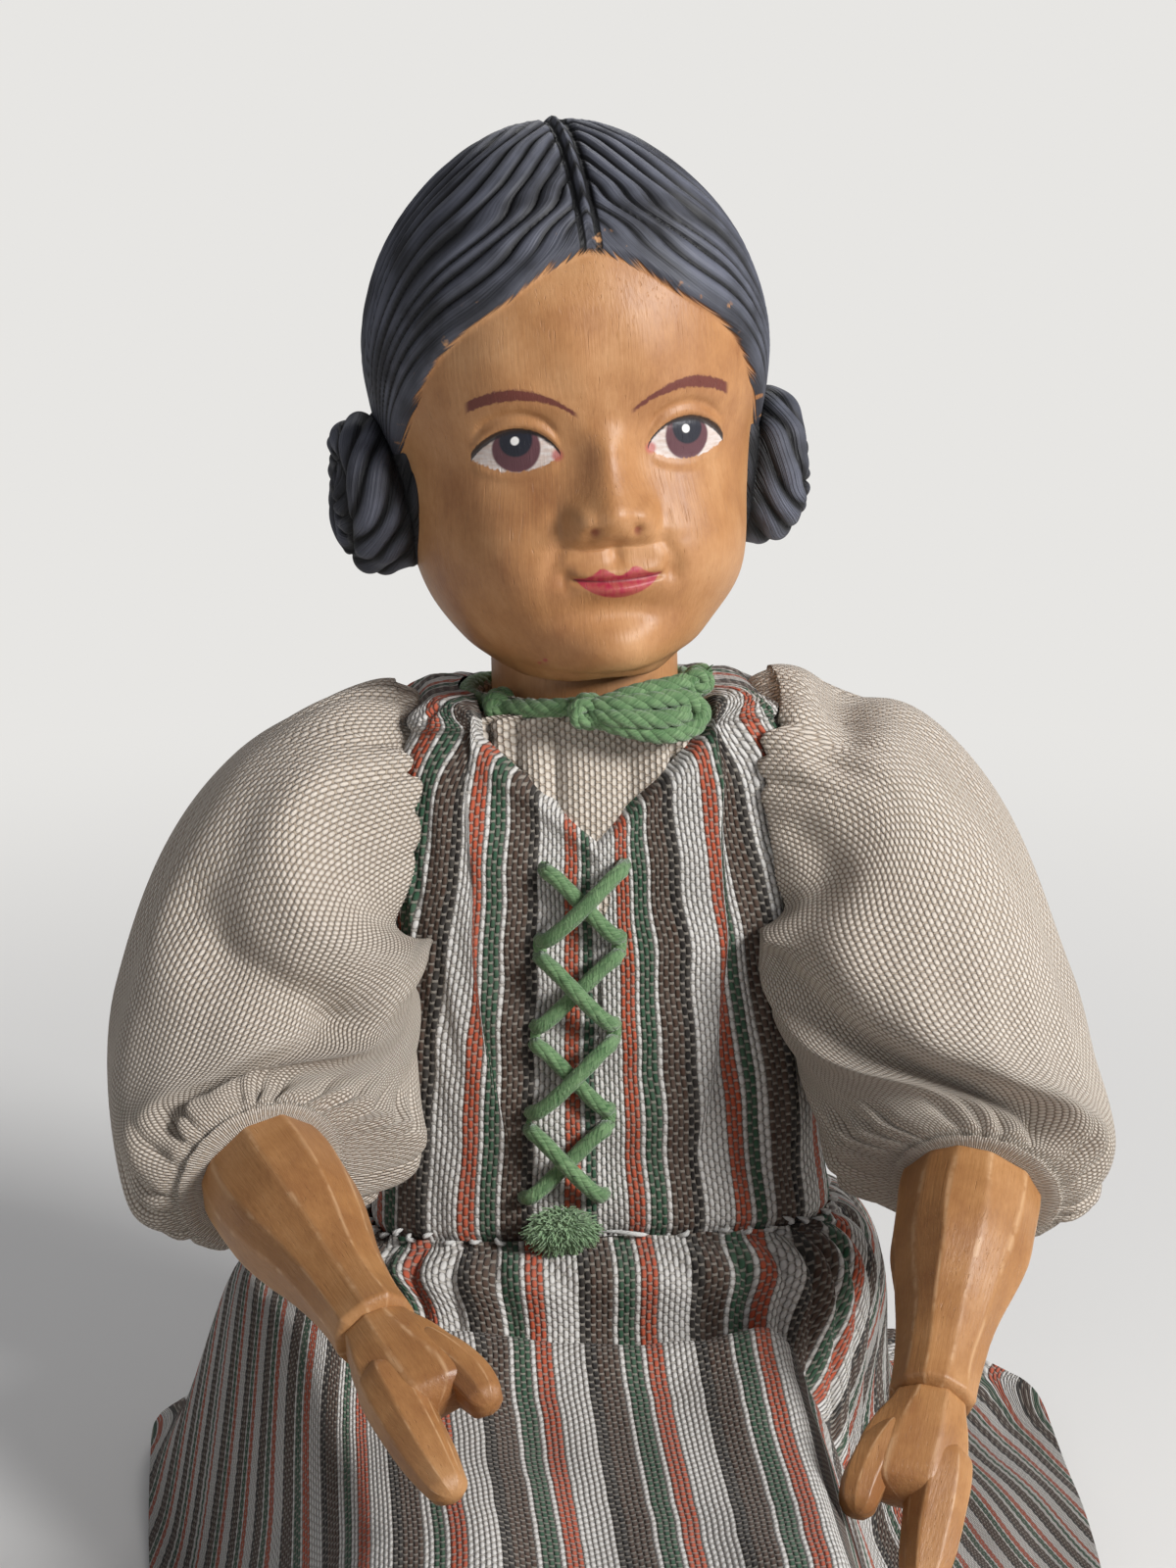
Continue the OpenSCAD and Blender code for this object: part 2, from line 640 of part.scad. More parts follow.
module forearm(side) color("peru") difference() {
    on_forearm(side) union() {
        rotate([0, 90, 0]) translate([0, 0, -elbow_tongue_t / 2]) cylinder(r = elbow_tongue_r, h = elbow_tongue_t);
        translate([-elbow_tongue_t / 2, -elbow_tongue_r, -forearm_start * tongue_root_share])
            cube([elbow_tongue_t, 2 * elbow_tongue_r, forearm_start * tongue_root_share]);
        skin([
            for (k = [len(forearm_l_shares) - 1:-1:0])
                let (
                    r = k == len(forearm_l_shares) - 1 ? wrist_d / 2
                        : max(wrist_d / 2, forearm_d / 2 * forearm_d_shares[k])
                )
                limb_ring(-lerp(forearm_start, forearm_l, forearm_l_shares[k]), r, r, carved_sides)
        ]);
        translate([0, 0, -forearm_l + layer_gap]) rotate([0, 0, hand_roll]) {
            fingers();
            thumb();
        }
    }
    on_elbow(side) translate([-over, 0, 0]) rotate([0, 90, 0])
        cylinder(d = elbow_peg_d + 2 * peg_clear, h = 2 * over);
}

// Legs, straight out along -Y
module on_hip(side) mirror([side, 0, 0]) translate([leg_x, 0, hip_z]) rotate([-90, 0, 0]) children();
module on_knee(side) on_hip(side) translate([0, 0, -thigh_l]) children();
module peg_hole(d) translate([-over, 0, 0]) rotate([0, 90, 0]) cylinder(d = d + 2 * peg_clear, h = 2 * over);
module thigh(side) color("peru") difference() {
    union() {
        on_hip(side) {
            translate([-hip_tongue_t / 2, 0, 0]) rotate([0, 90, 0]) cylinder(r = hip_tongue_r, h = hip_tongue_t);
            translate([-hip_tongue_t / 2, -hip_tongue_r, -thigh_start * tongue_root_share])
                cube([hip_tongue_t, 2 * hip_tongue_r, thigh_start * tongue_root_share]);
            skin([
                for (k = [len(thigh_l_shares) - 1:-1:0])
                    let (s = thigh_l_shares[k], r = lerp(thigh_d / 2, knee_r, smooth(s / thigh_taper_share)))
                    limb_ring(-lerp(thigh_start, thigh_l, s), r, r, limb_sides)
            ]);
        }
        on_knee(side) translate([-knee_half_w, 0, 0]) rotate([0, 90, 0]) cylinder(r = knee_r, h = 2 * knee_half_w);
    }
    on_hip(side) peg_hole(hip_peg_d);
    on_knee(side) {
        translate([-knee_tongue_t / 2 - side_clear, -over, -over])
            cube([knee_tongue_t + 2 * side_clear, 2 * over, over + knee_tongue_r + swing_clear]);
        peg_hole(knee_peg_d);
    }
}
module knee_peg(side) color("burlywood") on_knee(side) translate([-knee_half_w + peg_inset, 0, 0])
    rotate([0, 90, 0]) cylinder(d = knee_peg_d, h = 2 * (knee_half_w - peg_inset));
calf_start = knee_r + swing_clear;
calf_end = shin_l - shoe_h * ankle_share;
module shoe() translate([0, heel_back, 0]) {
    rotate([90, 0, 0]) skin([
        for (k = [0:len(shoe_l_shares) - 1])
            let (rx = shoe_w / 2 * shoe_w_shares[k], ry = shoe_h / 2 * shoe_h_shares[k])
            [
                for (p = limb_ring(shoe_l * shoe_l_shares[k], rx, ry, limb_sides))
                    p + [0, -shin_l + sole_t + ry, 0]
            ]
    ]);
    translate([0, 0, -shin_l]) linear_extrude(sole_t + sole_edge) polygon([
        for (side = [1, -1], k = [0:len(shoe_l_shares) - 1])
            let (i = side > 0 ? k : len(shoe_l_shares) - 1 - k)
            [side * (shoe_w / 2 * shoe_w_shares[i]), -shoe_l * shoe_l_shares[i]]
    ]);
}
module lower_leg(side) color("peru") difference() {
    on_knee(side) union() {
        translate([-knee_tongue_t / 2, 0, 0]) rotate([0, 90, 0]) cylinder(r = knee_tongue_r, h = knee_tongue_t);
        translate([-knee_tongue_t / 2, -knee_tongue_r, -calf_start * tongue_root_share])
            cube([knee_tongue_t, 2 * knee_tongue_r, calf_start * tongue_root_share]);
        skin([
            for (k = [len(calf_l_shares) - 1:-1:0])
                let (r = calf_d / 2 * calf_d_shares[k])
                limb_ring(-lerp(calf_start, calf_end, calf_l_shares[k]), r, r, limb_sides)
        ]);
        shoe();
    }
    on_knee(side) peg_hole(knee_peg_d);
}

// Blouse: a linen shell over the trunk with a collar round the neck
module armholes(r) for (side = [0, 1]) mirror([side, 0, 0]) translate([shoulder_face_x, 0, shoulder_z])
    rotate([0, 90, 0]) cylinder(r = r, h = over);
collar_r = neck_d / 2 + collar_gap + linen_t;
function collar_ring(z, r) = [
    for (i = [0:trunk_sides - 1])
        let (a = i * 360 / trunk_sides)
        [r * cos(a), r * sin(a), z]
];
module blouse() color("antiquewhite") leaning() difference() {
    cloth(concat(
        [
            for (s = cover_shares)
                cover_ring(lerp(waist_z + layer_gap, trunk_h, s), blouse_out)
        ],
        [
            corner_ring(blouse_out),
            collar_ring(collar_foot_z, lerp(collar_r, top_depth / 2 + blouse_out, collar_flare_share)),
            collar_ring(collar_foot_z + linen_t / 2, collar_r),
            collar_ring(collar_foot_z + collar_h, collar_r)
        ]
    ), linen_t);
    armholes(armhole_r);
}

// Bodice: striped cloth with a pointed neckline in front and a round one behind
back_neck_r = 14;
back_neck_drop = 1;
strap_reach = 6.5;
strap_rise = 1.2;
neckline_half = 12.5;
module bodice() color("linen") leaning() difference() {
    cloth(concat(
        [
            for (s = cover_shares)
                cover_ring(lerp(waist_z, trunk_h, s), bodice_out + waist_ease * (1 - smooth(s * 2)))
        ],
        [
            corner_ring(bodice_out),
            [for (p = trunk_ring(trunk_h, bodice_out - strap_reach)) p + [0, 0, bodice_out + strap_rise]]
        ]
    ), stripe_t);
    armholes(armhole_r);
    rotate([90, 0, 0]) linear_extrude(over) polygon([
        [0, trunk_h - neckline_depth], [neckline_half, trunk_h + layer_gap], [neckline_half, 2 * trunk_h],
        [-neckline_half, 2 * trunk_h], [-neckline_half, trunk_h + layer_gap]
    ]);
    translate([0, 0, trunk_h - back_neck_drop]) cylinder(r = back_neck_r, h = over);
}

// Skirt: gathered at the waist, over the lap in front and down to the seat at the sides and back
leg_top = hip_z + thigh_d / 2;
lap_z = leg_top + lap_rise + stripe_t;
floor_z = floor_gap + stripe_t;
function waist_point(a) =
    let (
        hw = curve(trunk_zs, trunk_hws, waist_z) + bodice_out + waist_ease,
        hd = curve(trunk_zs, trunk_hds, waist_z) + bodice_out + waist_ease
    )
    lean([hw * power(cos(a), trunk_round), hd * power(sin(a), trunk_round), waist_z - skirt_gap]);
function hem_point(a) = [
    hem_side * power(cos(a), skirt_round),
    (sin(a) < 0 ? hem_front : hem_back) * power(sin(a), skirt_round)
];
function ground(x, y) =
    let (
        half = x < 0 ? puff_half : lap_half,
        fall = x < 0 ? puff_fall : lap_fall
    )
    lerp(floor_z, lap_z, (1 - smooth((abs(x) - half) / fall)) * (1 - smooth((y - lap_back) / back_fall)))
    + puff_h * bump((x + puff_x) / puff_w) * bump((y + puff_y) / puff_l);
function skirt_point(a, s) =
    let (
        w = waist_point(a),
        h = hem_point(a),
        x = lerp(w.x, h.x, s),
        y = lerp(w.y, h.y, s),
        d = norm([x - w.x, y - w.y]),
        fold = fold_depth * smooth(s * 3) * (1 + sin(fold_count * a)) / 2,
        g = ground(x, y)
    )
    [x, y, lerp(g + fold, w.z, bump(d / waist_drop))];
function skirt_share(j) = pow(j / skirt_rings, skirt_crowding);
module skirt() color("linen") cloth([
    for (j = [skirt_rings:-1:0])
        [for (i = [0:skirt_sides - 1]) skirt_point(i * 360 / skirt_sides, skirt_share(j))]
], stripe_t);

// Sleeves, in the shoulder's own frame, from the armhole to the gathered cuff
function arm_turn(p, swing) = turn_x(turn_y(p, -arm_cant), -swing);
function fore_turn(p, swing, bend) = arm_turn(turn_z(turn_x(p, -bend), elbow_twist), swing);
sleeve_gap = 3 * layer_gap + linen_t;
sleeve_x = chest_w / 2 + bodice_out + sleeve_gap - arm_face_x;
cuff_r = forearm_d / 2 + cuff_clear + linen_t;
function three(a, b, c, s) = s < 0.5 ? lerp(a, b, smooth(2 * s)) : lerp(b, c, smooth(2 * s - 1));
function sleeve_point(a, s, side) =
    let (
        swing = [left_swing, right_swing][side],
        bend = [left_bend, right_bend][side],
        down = arm_turn([0, 0, -1], swing),
        ahead = fore_turn([0, 0, -1], swing, bend),
        elbow = [arm_axis_x, 0, 0] + upper_arm_l * down,
        start = [sleeve_x, 0, 0],
        bend_at = elbow + sleeve_reach * down,
        cuff = elbow + cuff_at * ahead,
        ahead_share = smooth((1 - cos(a)) / 2) * smooth(sleeve_end_share * (1 - s)),
        inward = sleeve_ins[side] * bump((s - sleeve_in_at) / sleeve_in_spread) * ahead_share,
        lean_in = [-sleeve_lean * (1 - s) ^ 2 * smooth(sin(a)) - inward, 0, 0],
        crest = start + [sleeve_crest, 0, sleeve_rise] * smooth((sin(a) + 1) / 2),
        middle = (1 - s) ^ 3 * start + 3 * s * (1 - s) ^ 2 * crest + 3 * s ^ 2 * (1 - s) * bend_at
            + s ^ 3 * cuff + lean_in,
        cuff_out = unit(down - ahead * (down * ahead)),
        out = unit(three([0, 0, 1], [1, 0, 0], cuff_out, s)),
        back = unit(three([0, 1, 0], [0, 1, 0], cross(cuff_out, ahead), s)),
        full = pow(sin(180 * pow(s, full_crowding)), full_power),
        lobe = lobe_shares * [1, sin(a), cos(2 * a)],
        loose = smooth(sleeve_end_share * s) * smooth(sleeve_end_share * (1 - s)) * smooth(sin(a) + armpit_share),
        ripple = gather_depth * (1 + sin(sleeve_gathers * a)) * loose,
        fold = sleeve_fold * sin(2 * a + fold_slant * s + fold_start) * loose,
        r = lerp(armhole_r, cuff_r, s) + sleeve_puff * puff_shares[side] * full * lobe + ripple + fold
    )
    beside_bodice(middle + r * (cos(a) * back + sin(a) * out), 1 - smooth(s * hug_share));
// The bodice's side at a place in the shoulder's own frame
function bodice_side(p) =
    let (
        z = p.z + shoulder_z,
        out = bodice_out + waist_ease * (1 - smooth((z - waist_z) / (trunk_h - waist_z) * 2)),
        hw = curve(trunk_zs, trunk_hws, z) + out,
        hd = curve(trunk_zs, trunk_hds, z) + out,
        across = min(abs(p.y) / hd, side_end_share)
    )
    hw * pow(1 - pow(across, trunk_round), 1 / trunk_round) + sleeve_gap - arm_face_x;
function beside_bodice(p, hug) =
    let (side = bodice_side(p))
    [max(p.x - hug * (sleeve_x - side), side), p.y, p.z];
module sleeve(side) color("antiquewhite") on_shoulder(side) cloth([
    for (j = [0:sleeve_rings])
        [
            for (i = [0:sleeve_sides - 1])
                sleeve_point(i * 360 / sleeve_sides, j / sleeve_rings, side)
        ]
], linen_t);

// Lacing: two yarns that cross in front of the bodice, one over the other
function front_y(z) =
    let (s = (z - waist_z) / (trunk_h - waist_z))
    -curve(trunk_zs, trunk_hds, z) - bodice_out - waist_ease * (1 - smooth(s * 2));
lace_step = (lace_top - waist_z - lace_foot) / lace_rows;
function lace_x(z) = lerp(lace_foot_x, lace_top_x, (z - waist_z) / (lace_top - waist_z));
function lace_point(k, hand) =
    let (
        z = lace_top - lace_step * k / 4,
        lift = lace_lift + lace_d / 2 + (hand > 0 ? lace_d + lace_lift : 0) * pow(sin(45 * k), 2)
    )
    [lace_x(z) + hand * lace_w / 2 * cos(45 * k), front_y(z) - lift, z];
module bodice_lacing() color("seagreen") leaning() for (hand = [-1, 1])
    cord([for (k = [0:4 * lace_rows]) lace_point(k, hand)], lace_d, [0, 1, 0]);
tassel_z = waist_z + lace_foot / 2;
module lacing_tassel() color("seagreen") leaning()
    translate([lace_foot_x, front_y(tassel_z) - lace_lift - tassel_t / 2, tassel_z - tassel_h / 4])
        scale([tassel_w, tassel_t, tassel_h]) sphere(d = 1, $fn = 24);

// Neck tie: a ring of yarn round the collar, knotted in front with a bow that falls to the left
tie_r = collar_r + layer_gap + tie_d / 2;
knot_d = 3.6;
// The bow's way: to the left, ahead of the ring, and above it
bow_shape = [
    [-1, 2.7, -0.3], [3, 3.3, -1.7], [7, 2.9, -2.6], [10.2, 1.5, -2.3], [11.3, 0.8, -0.6], [9.4, 1.6, 0.9],
    [6, 2.7, 0.9], [2.6, 3.2, 0.7]
];
bow_route = [for (p = bow_shape) [p.x, -tie_r - p.y, tie_z + p.z]];
module neck_tie() color("seagreen") leaning() {
    translate([0, 0, tie_z]) rotate_extrude() translate([tie_r, 0]) circle(d = tie_d, $fn = 24);
    cord(finer(bow_route, 3), tie_d, [0, 0, 1]);
    translate(bow_route[0]) sphere(d = knot_d);
}

head();
braid_bun(0);  // left_braid_bun
braid_bun(1);  // right_braid_bun
neck_peg();
torso();
shoulder_peg(0);  // left_shoulder_peg
shoulder_peg(1);  // right_shoulder_peg
upper_arm(0);  // left_upper_arm
upper_arm(1);  // right_upper_arm
elbow_peg(0);  // left_elbow_peg
elbow_peg(1);  // right_elbow_peg
forearm(0);  // left_forearm
forearm(1);  // right_forearm
hip_dowel();
thigh(0);  // left_thigh
thigh(1);  // right_thigh
knee_peg(0);  // left_knee_peg
knee_peg(1);  // right_knee_peg
lower_leg(0);  // left_lower_leg
lower_leg(1);  // right_lower_leg
blouse();
sleeve(0);  // left_sleeve
sleeve(1);  // right_sleeve
bodice();
skirt();
bodice_lacing();
lacing_tassel();
neck_tie();
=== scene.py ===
"""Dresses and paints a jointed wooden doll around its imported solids.

The doll is carved wood with pegged limbs. It has combed and painted hair with a coiled braid over each ear,
a linen blouse with puffed sleeves, and a striped bodice and skirt closed with green lacing. Lengths are in
millimetres until a mesh is written, which is in metres.
"""

import json
import logging
import math
import random
from dataclasses import dataclass
from enum import Enum
from typing import Any, Optional, Sequence

import bmesh
import bpy
import numpy as np
from mathutils import Matrix, Vector


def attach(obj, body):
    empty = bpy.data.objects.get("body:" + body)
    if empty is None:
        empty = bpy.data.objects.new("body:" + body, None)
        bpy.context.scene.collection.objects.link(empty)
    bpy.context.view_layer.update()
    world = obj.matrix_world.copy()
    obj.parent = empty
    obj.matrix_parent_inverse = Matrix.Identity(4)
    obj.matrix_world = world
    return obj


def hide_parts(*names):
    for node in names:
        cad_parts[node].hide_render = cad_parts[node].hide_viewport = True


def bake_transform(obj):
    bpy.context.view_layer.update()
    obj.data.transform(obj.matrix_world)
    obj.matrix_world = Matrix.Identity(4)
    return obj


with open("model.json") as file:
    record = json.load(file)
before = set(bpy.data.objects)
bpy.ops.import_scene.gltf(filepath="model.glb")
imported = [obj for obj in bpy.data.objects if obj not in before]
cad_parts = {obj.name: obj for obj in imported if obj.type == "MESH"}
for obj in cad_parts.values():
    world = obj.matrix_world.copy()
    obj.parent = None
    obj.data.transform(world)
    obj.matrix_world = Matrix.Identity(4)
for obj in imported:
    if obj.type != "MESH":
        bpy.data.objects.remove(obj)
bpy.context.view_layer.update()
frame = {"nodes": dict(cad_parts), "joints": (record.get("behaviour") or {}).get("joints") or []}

MM = 0.001
LOG = logging.getLogger("doll")
Colour = tuple[float, float, float]
Socket = Any
Sockets = tuple[Socket, Socket, Socket]
Array = np.ndarray
Strand = tuple[Array, Array]
Piece = bpy.types.Object
Material = bpy.types.Material


class Side(Enum):
    """The doll's own left and right, with the sign of X there."""

    LEFT = 1
    RIGHT = -1

    @property
    def word(self) -> str:
        """The side's name as the solids use it."""
        return self.name.lower()


class Weave(Enum):
    """How a cloth is coloured."""

    PLAIN = "plain"
    STRIPED = "striped"


# Shape rules


def smooth(x: Any) -> Array:
    """Eases from 0 to 1 as x goes from 0 to 1."""
    c = np.clip(x, 0.0, 1.0)
    return c * c * (3 - 2 * c)


def bump(x: Any) -> Array:
    """A rounded hill, 1 at x = 0 and about a third at x = 1."""
    return np.exp(-np.square(x))


def mix(a: Any, b: Any, share: Any) -> Any:
    """Goes straight from a to b."""
    return a + (b - a) * share


def power(c: Any, n: float) -> Array:
    """A cosine or sine squared up for a rounded box of exponent n."""
    return np.sign(c) * np.abs(c) ** (2 / n)


def run(steps: Array, axis: int = 0) -> Array:
    """Running totals of the steps, starting from 0."""
    nothing = np.zeros_like(np.take(steps, [0], axis=axis))
    return np.concatenate([nothing, np.cumsum(steps, axis=axis)], axis=axis)


def lengths_along(p: Array, axis: int = 0) -> Array:
    """Length run along a line or grid of points up to each point."""
    return run(np.linalg.norm(np.diff(p, axis=axis), axis=-1), axis)


def through(xs: Sequence[float], ys: Sequence[float], x: Any) -> Array:
    """A smooth curve through given points.

    Args:
        xs: Rising places.
        ys: Values at those places.
        x: Where the curve is read.

    Returns:
        The curve's values.
    """
    px = np.asarray(xs, float)
    py = np.asarray(ys, float)
    low = np.maximum(np.arange(len(px)) - 1, 0)
    high = np.minimum(np.arange(len(px)) + 1, len(px) - 1)
    slopes = (py[high] - py[low]) / (px[high] - px[low])
    at = np.clip(np.searchsorted(px, x, side="right") - 1, 0, len(px) - 2)
    h = px[at + 1] - px[at]
    s = np.clip((np.asarray(x, float) - px[at]) / h, 0, 1)
    start = py[at] * (2 * s**3 - 3 * s**2 + 1) + slopes[at] * h * (s**3 - 2 * s**2 + s)
    return start + py[at + 1] * (3 * s**2 - 2 * s**3) + slopes[at + 1] * h * (s**3 - s**2)


def ripple(seed: int, x: Any, y: Any, waves: int = 5) -> Array:
    """Slow unevenness between about -1 and 1, the same on every run.

    Args:
        seed: Which pattern.
        x: First coordinate, in waves.
        y: Second coordinate, in waves.
        waves: How many waves are added up.

    Returns:
        The sum of the waves.
    """
    chance = random.Random(seed)
    total = 0.0
    for _ in range(waves):
        way = chance.uniform(0, 2 * math.pi)
        pace = chance.uniform(0.6, 1.6)
        start = chance.uniform(0, 2 * math.pi)
        total = total + np.sin(2 * math.pi * pace * (x * math.cos(way) + y * math.sin(way)) + start)
    return total / waves * 1.6


@dataclass(frozen=True)
class Place:
    """A local frame of the doll, in millimetres, set in the model's frame."""

    turn: Array
    at: Array

    def moved(self, x: float, y: float, z: float) -> "Place":
        """The same frame moved along its own axes."""
        return Place(self.turn, self.at + self.turn @ np.array([x, y, z], float))

    def turned(self, axis: str, degrees: float) -> "Place":
        """The same frame turned about one of its own axes."""
        return Place(self.turn @ np.array(Matrix.Rotation(math.radians(degrees), 3, axis)), self.at)

    def mirrored(self, side: Side) -> "Place":
        """The same frame, with X turned over for the right side."""
        return Place(self.turn @ np.diag([float(side.value), 1.0, 1.0]), self.at)

    def out(self, points: Array) -> Array:
        """Local points in millimetres as points of the model's frame, still in millimetres."""
        return points @ self.turn.T + self.at


def joint(name: str) -> dict[str, Any]:
    """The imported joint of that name."""
    return next(j for j in frame["joints"] if j["name"] == name)


def trunk_place() -> Place:
    """The leaning trunk's frame, read from the neck's and the shoulder's axes."""
    up = np.array(joint("neck_turn")["axis"], float)
    right = -np.array(joint("left_shoulder")["axis"], float)
    ahead = np.cross(up, right)
    return Place(np.stack([right, ahead, up], axis=1), np.zeros(3))


# Mesh helpers


def new_object(name: str, bm: bmesh.types.BMesh) -> Piece:
    """Writes a bmesh to a new object at the origin and frees it.

    Args:
        name: The piece's name.
        bm: The finished bmesh, in millimetres.

    Returns:
        The linked object.
    """
    mesh = bpy.data.meshes.new(name)
    bm.to_mesh(mesh)
    bm.free()
    obj = bpy.data.objects.new(name, mesh)
    bpy.context.scene.collection.objects.link(obj)
    return obj


def points_of(obj: Piece) -> Array:
    """The object's vertices as rows of three numbers."""
    co = np.zeros(len(obj.data.vertices) * 3, np.float32)
    obj.data.vertices.foreach_get("co", co)
    return co.reshape(-1, 3).astype(float)


def set_points(obj: Piece, points: Array) -> None:
    """Moves every vertex of the object."""
    obj.data.vertices.foreach_set("co", np.asarray(points, np.float32).ravel())
    obj.data.update()


def normals_of(obj: Piece) -> Array:
    """The object's vertex normals as rows of three numbers."""
    n = np.zeros(len(obj.data.vertices) * 3, np.float32)
    obj.data.vertex_normals.foreach_get("vector", n)
    return n.reshape(-1, 3).astype(float)


def keep_values(obj: Piece, **named: Array) -> None:
    """Stores numbers or vectors for each vertex, for the finish to read."""
    for name, given in named.items():
        values = np.asarray(given, np.float32)
        vectors = values.ndim == 2
        held = obj.data.attributes.new(name, "FLOAT_VECTOR" if vectors else "FLOAT", "POINT")
        held.data.foreach_set("vector" if vectors else "value", values.ravel())


def keep_uv(obj: Piece, u: Array, v: Array) -> None:
    """Stores the cut cloth's own coordinates, in millimetres, as the UV map."""
    at = np.zeros(len(obj.data.loops), np.int32)
    obj.data.loops.foreach_get("vertex_index", at)
    layer = obj.data.uv_layers.new(name="cut")
    layer.data.foreach_set("uv", np.stack([u[at], v[at]], 1).astype(np.float32).ravel())


def flat_grid(name: str, columns: int, rows: int) -> tuple[Piece, Array, Array]:
    """A flat grid to be bent to a shape.

    Args:
        name: The piece's name.
        columns: Faces across.
        rows: Faces along.

    Returns:
        The object, and each vertex's share across and along, from 0 to 1.
    """
    bm = bmesh.new()
    bmesh.ops.create_grid(bm, x_segments=columns, y_segments=rows, size=0.5)
    obj = new_object(name, bm)
    co = points_of(obj)
    return obj, np.clip(co[:, 0] + 0.5, 0, 1), np.clip(co[:, 1] + 0.5, 0, 1)


def close_seams(obj: Piece, distance: float = 0.002) -> None:
    """Merges vertices that meet, points the faces outwards, and goes over to metres.

    Args:
        obj: The piece, still in millimetres.
        distance: How near two vertices meet, in millimetres.
    """
    bm = bmesh.new()
    bm.from_mesh(obj.data)
    bmesh.ops.remove_doubles(bm, verts=bm.verts[:], dist=distance)
    bmesh.ops.dissolve_degenerate(bm, edges=bm.edges[:], dist=distance / 10)
    bmesh.ops.recalc_face_normals(bm, faces=bm.faces[:])
    bmesh.ops.scale(bm, vec=(MM, MM, MM), verts=bm.verts[:])
    bm.to_mesh(obj.data)
    bm.free()
    obj.data.shade_smooth()


def join(first: Piece, others: Sequence[Piece]) -> None:
    """Joins other meshes to the first."""
    with bpy.context.temp_override(active_object=first, selected_editable_objects=[first, *others]):
        bpy.ops.object.join()


def drop_faces(obj: Piece, inside: Array) -> None:
    """Deletes the faces whose vertices are all marked.

    Args:
        obj: The piece.
        inside: True for each vertex that lies in the part to cut away.
    """
    bm = bmesh.new()
    bm.from_mesh(obj.data)
    gone = [f for f in bm.faces if all(inside[v.index] for v in f.verts)]
    bmesh.ops.delete(bm, geom=gone, context="FACES")
    bm.to_mesh(obj.data)
    bm.free()


def cut_lengths(p: Array, columns: int) -> tuple[Array, Array]:
    """The cut cloth's own coordinates, across from its middle column and down from its first row.

    Args:
        p: The laid cloth's points, row by row.
        columns: How many cells a row has.

    Returns:
        Lengths across and down in millimetres.
    """
    grid = p.reshape(-1, columns + 1, 3)
    across = lengths_along(grid, 1)
    across = across - across[:, columns // 2][:, None]
    return across.ravel(), lengths_along(grid).ravel()


def knife_cuts(a: Array, along: Array, cuts: int, seed: int) -> tuple[Array, Array]:
    """Long uneven flats round a rod.

    Args:
        a: Angle round the rod.
        along: Place along the rod.
        cuts: How many flats go round, or 0 for none.
        seed: Sets where the flats lie.

    Returns:
        The radius as a share, and how near each point is to an edge between two flats.
    """
    if cuts == 0:
        return np.ones(len(a)), np.zeros(len(a))
    chance = random.Random(seed)
    flats = []
    for k in range(cuts):
        turn = 2 * math.pi * (k + 0.45 * chance.random()) / cuts + 0.1 * ripple(seed + k, along, 0 * along)
        depth = 0.955 + 0.02 * chance.random() + 0.008 * ripple(seed + k + 40, along * 1.6, 0 * along)
        flats.append(depth / np.maximum(np.cos(a - turn), 0.25))
    ranked = np.sort(np.stack(flats, 1), axis=1)
    step = ranked[:, 1] - ranked[:, 0]
    soft = 0.012 * np.exp(-step / 0.012)
    return np.minimum(ranked[:, 0] - soft, 1.06), np.exp(-((step / 0.02) ** 2))


def tube_ring_points(
    path: Array, radius: Array, around: Array, along: Array
) -> Array:
    """Points of a round yarn along a path.

    Args:
        path: The yarn's middle, as rows of three numbers.
        radius: The yarn's radius at each row.
        around: Each vertex's share of the way round.
        along: Each vertex's row, as a whole number.

    Returns:
        Each vertex's place.
    """
    ahead = np.gradient(path, axis=0)
    ahead /= np.linalg.norm(ahead, axis=1)[:, None] + 1e-12
    side = np.cross(ahead[0], [0.3, 0.2, 0.93])
    sides = []
    for way in ahead:
        side = side - way * (side @ way)
        side = side / (np.linalg.norm(side) + 1e-12)
        sides.append(side)
    first = np.array(sides)
    second = np.cross(ahead, first)
    angle = 2 * math.pi * around[:, None]
    return path[along] + radius[along, None] * (np.cos(angle) * first[along] + np.sin(angle) * second[along])


def yarns(name: str, strands: Sequence[Strand], sides: int) -> Piece:
    """One piece made of many round yarns with closed ends.

    Args:
        name: The piece's name.
        strands: Each yarn's middle line in the model's frame, and its radius along the line.
        sides: Faces round each yarn.

    Returns:
        The finished object, in metres.
    """
    bm = bmesh.new()
    layer = bm.loops.layers.uv.new("cut")
    for path, radius in strands:
        rows = len(path) - 1
        made = bmesh.ops.create_grid(bm, x_segments=sides, y_segments=rows, size=0.5)["verts"]
        share = np.array([v.co for v in made])
        around = share[:, 0] + 0.5
        along = np.rint((share[:, 1] + 0.5) * rows).astype(int)
        length = lengths_along(path)
        for face in {f for v in made for f in v.link_faces}:
            for loop in face.loops:
                row = int(round((loop.vert.co.y + 0.5) * rows))
                loop[layer].uv = (loop.vert.co.x + 0.5, length[row])
        for vert, place in zip(made, tube_ring_points(path, radius, around, along)):
            vert.co = place
    obj = new_object(name, bm)
    close_seams(obj, 0.0005)
    return obj


def plied(path: Array, diameter: float, plies: int, twist: float) -> list[Strand]:
    """The plies of a twisted yarn.

    Args:
        path: The yarn's middle line.
        diameter: The whole yarn's diameter.
        plies: How many plies are twisted together.
        twist: Length of one full twist.

    Returns:
        Each ply's line and its radius along the line.
    """
    ply_r = diameter * 0.29
    off = np.full(len(path), diameter / 2 - ply_r)
    length = lengths_along(path)
    tip = smooth(length / (ply_r * 1.5)) * smooth((length[-1] - length) / (ply_r * 1.5))
    made = []
    for ply in range(plies):
        turns = (length / twist + ply / plies) % 1.0
        line = tube_ring_points(path, off, turns, np.arange(len(path)))
        made.append((line, ply_r * np.sqrt(tip)))
    return made


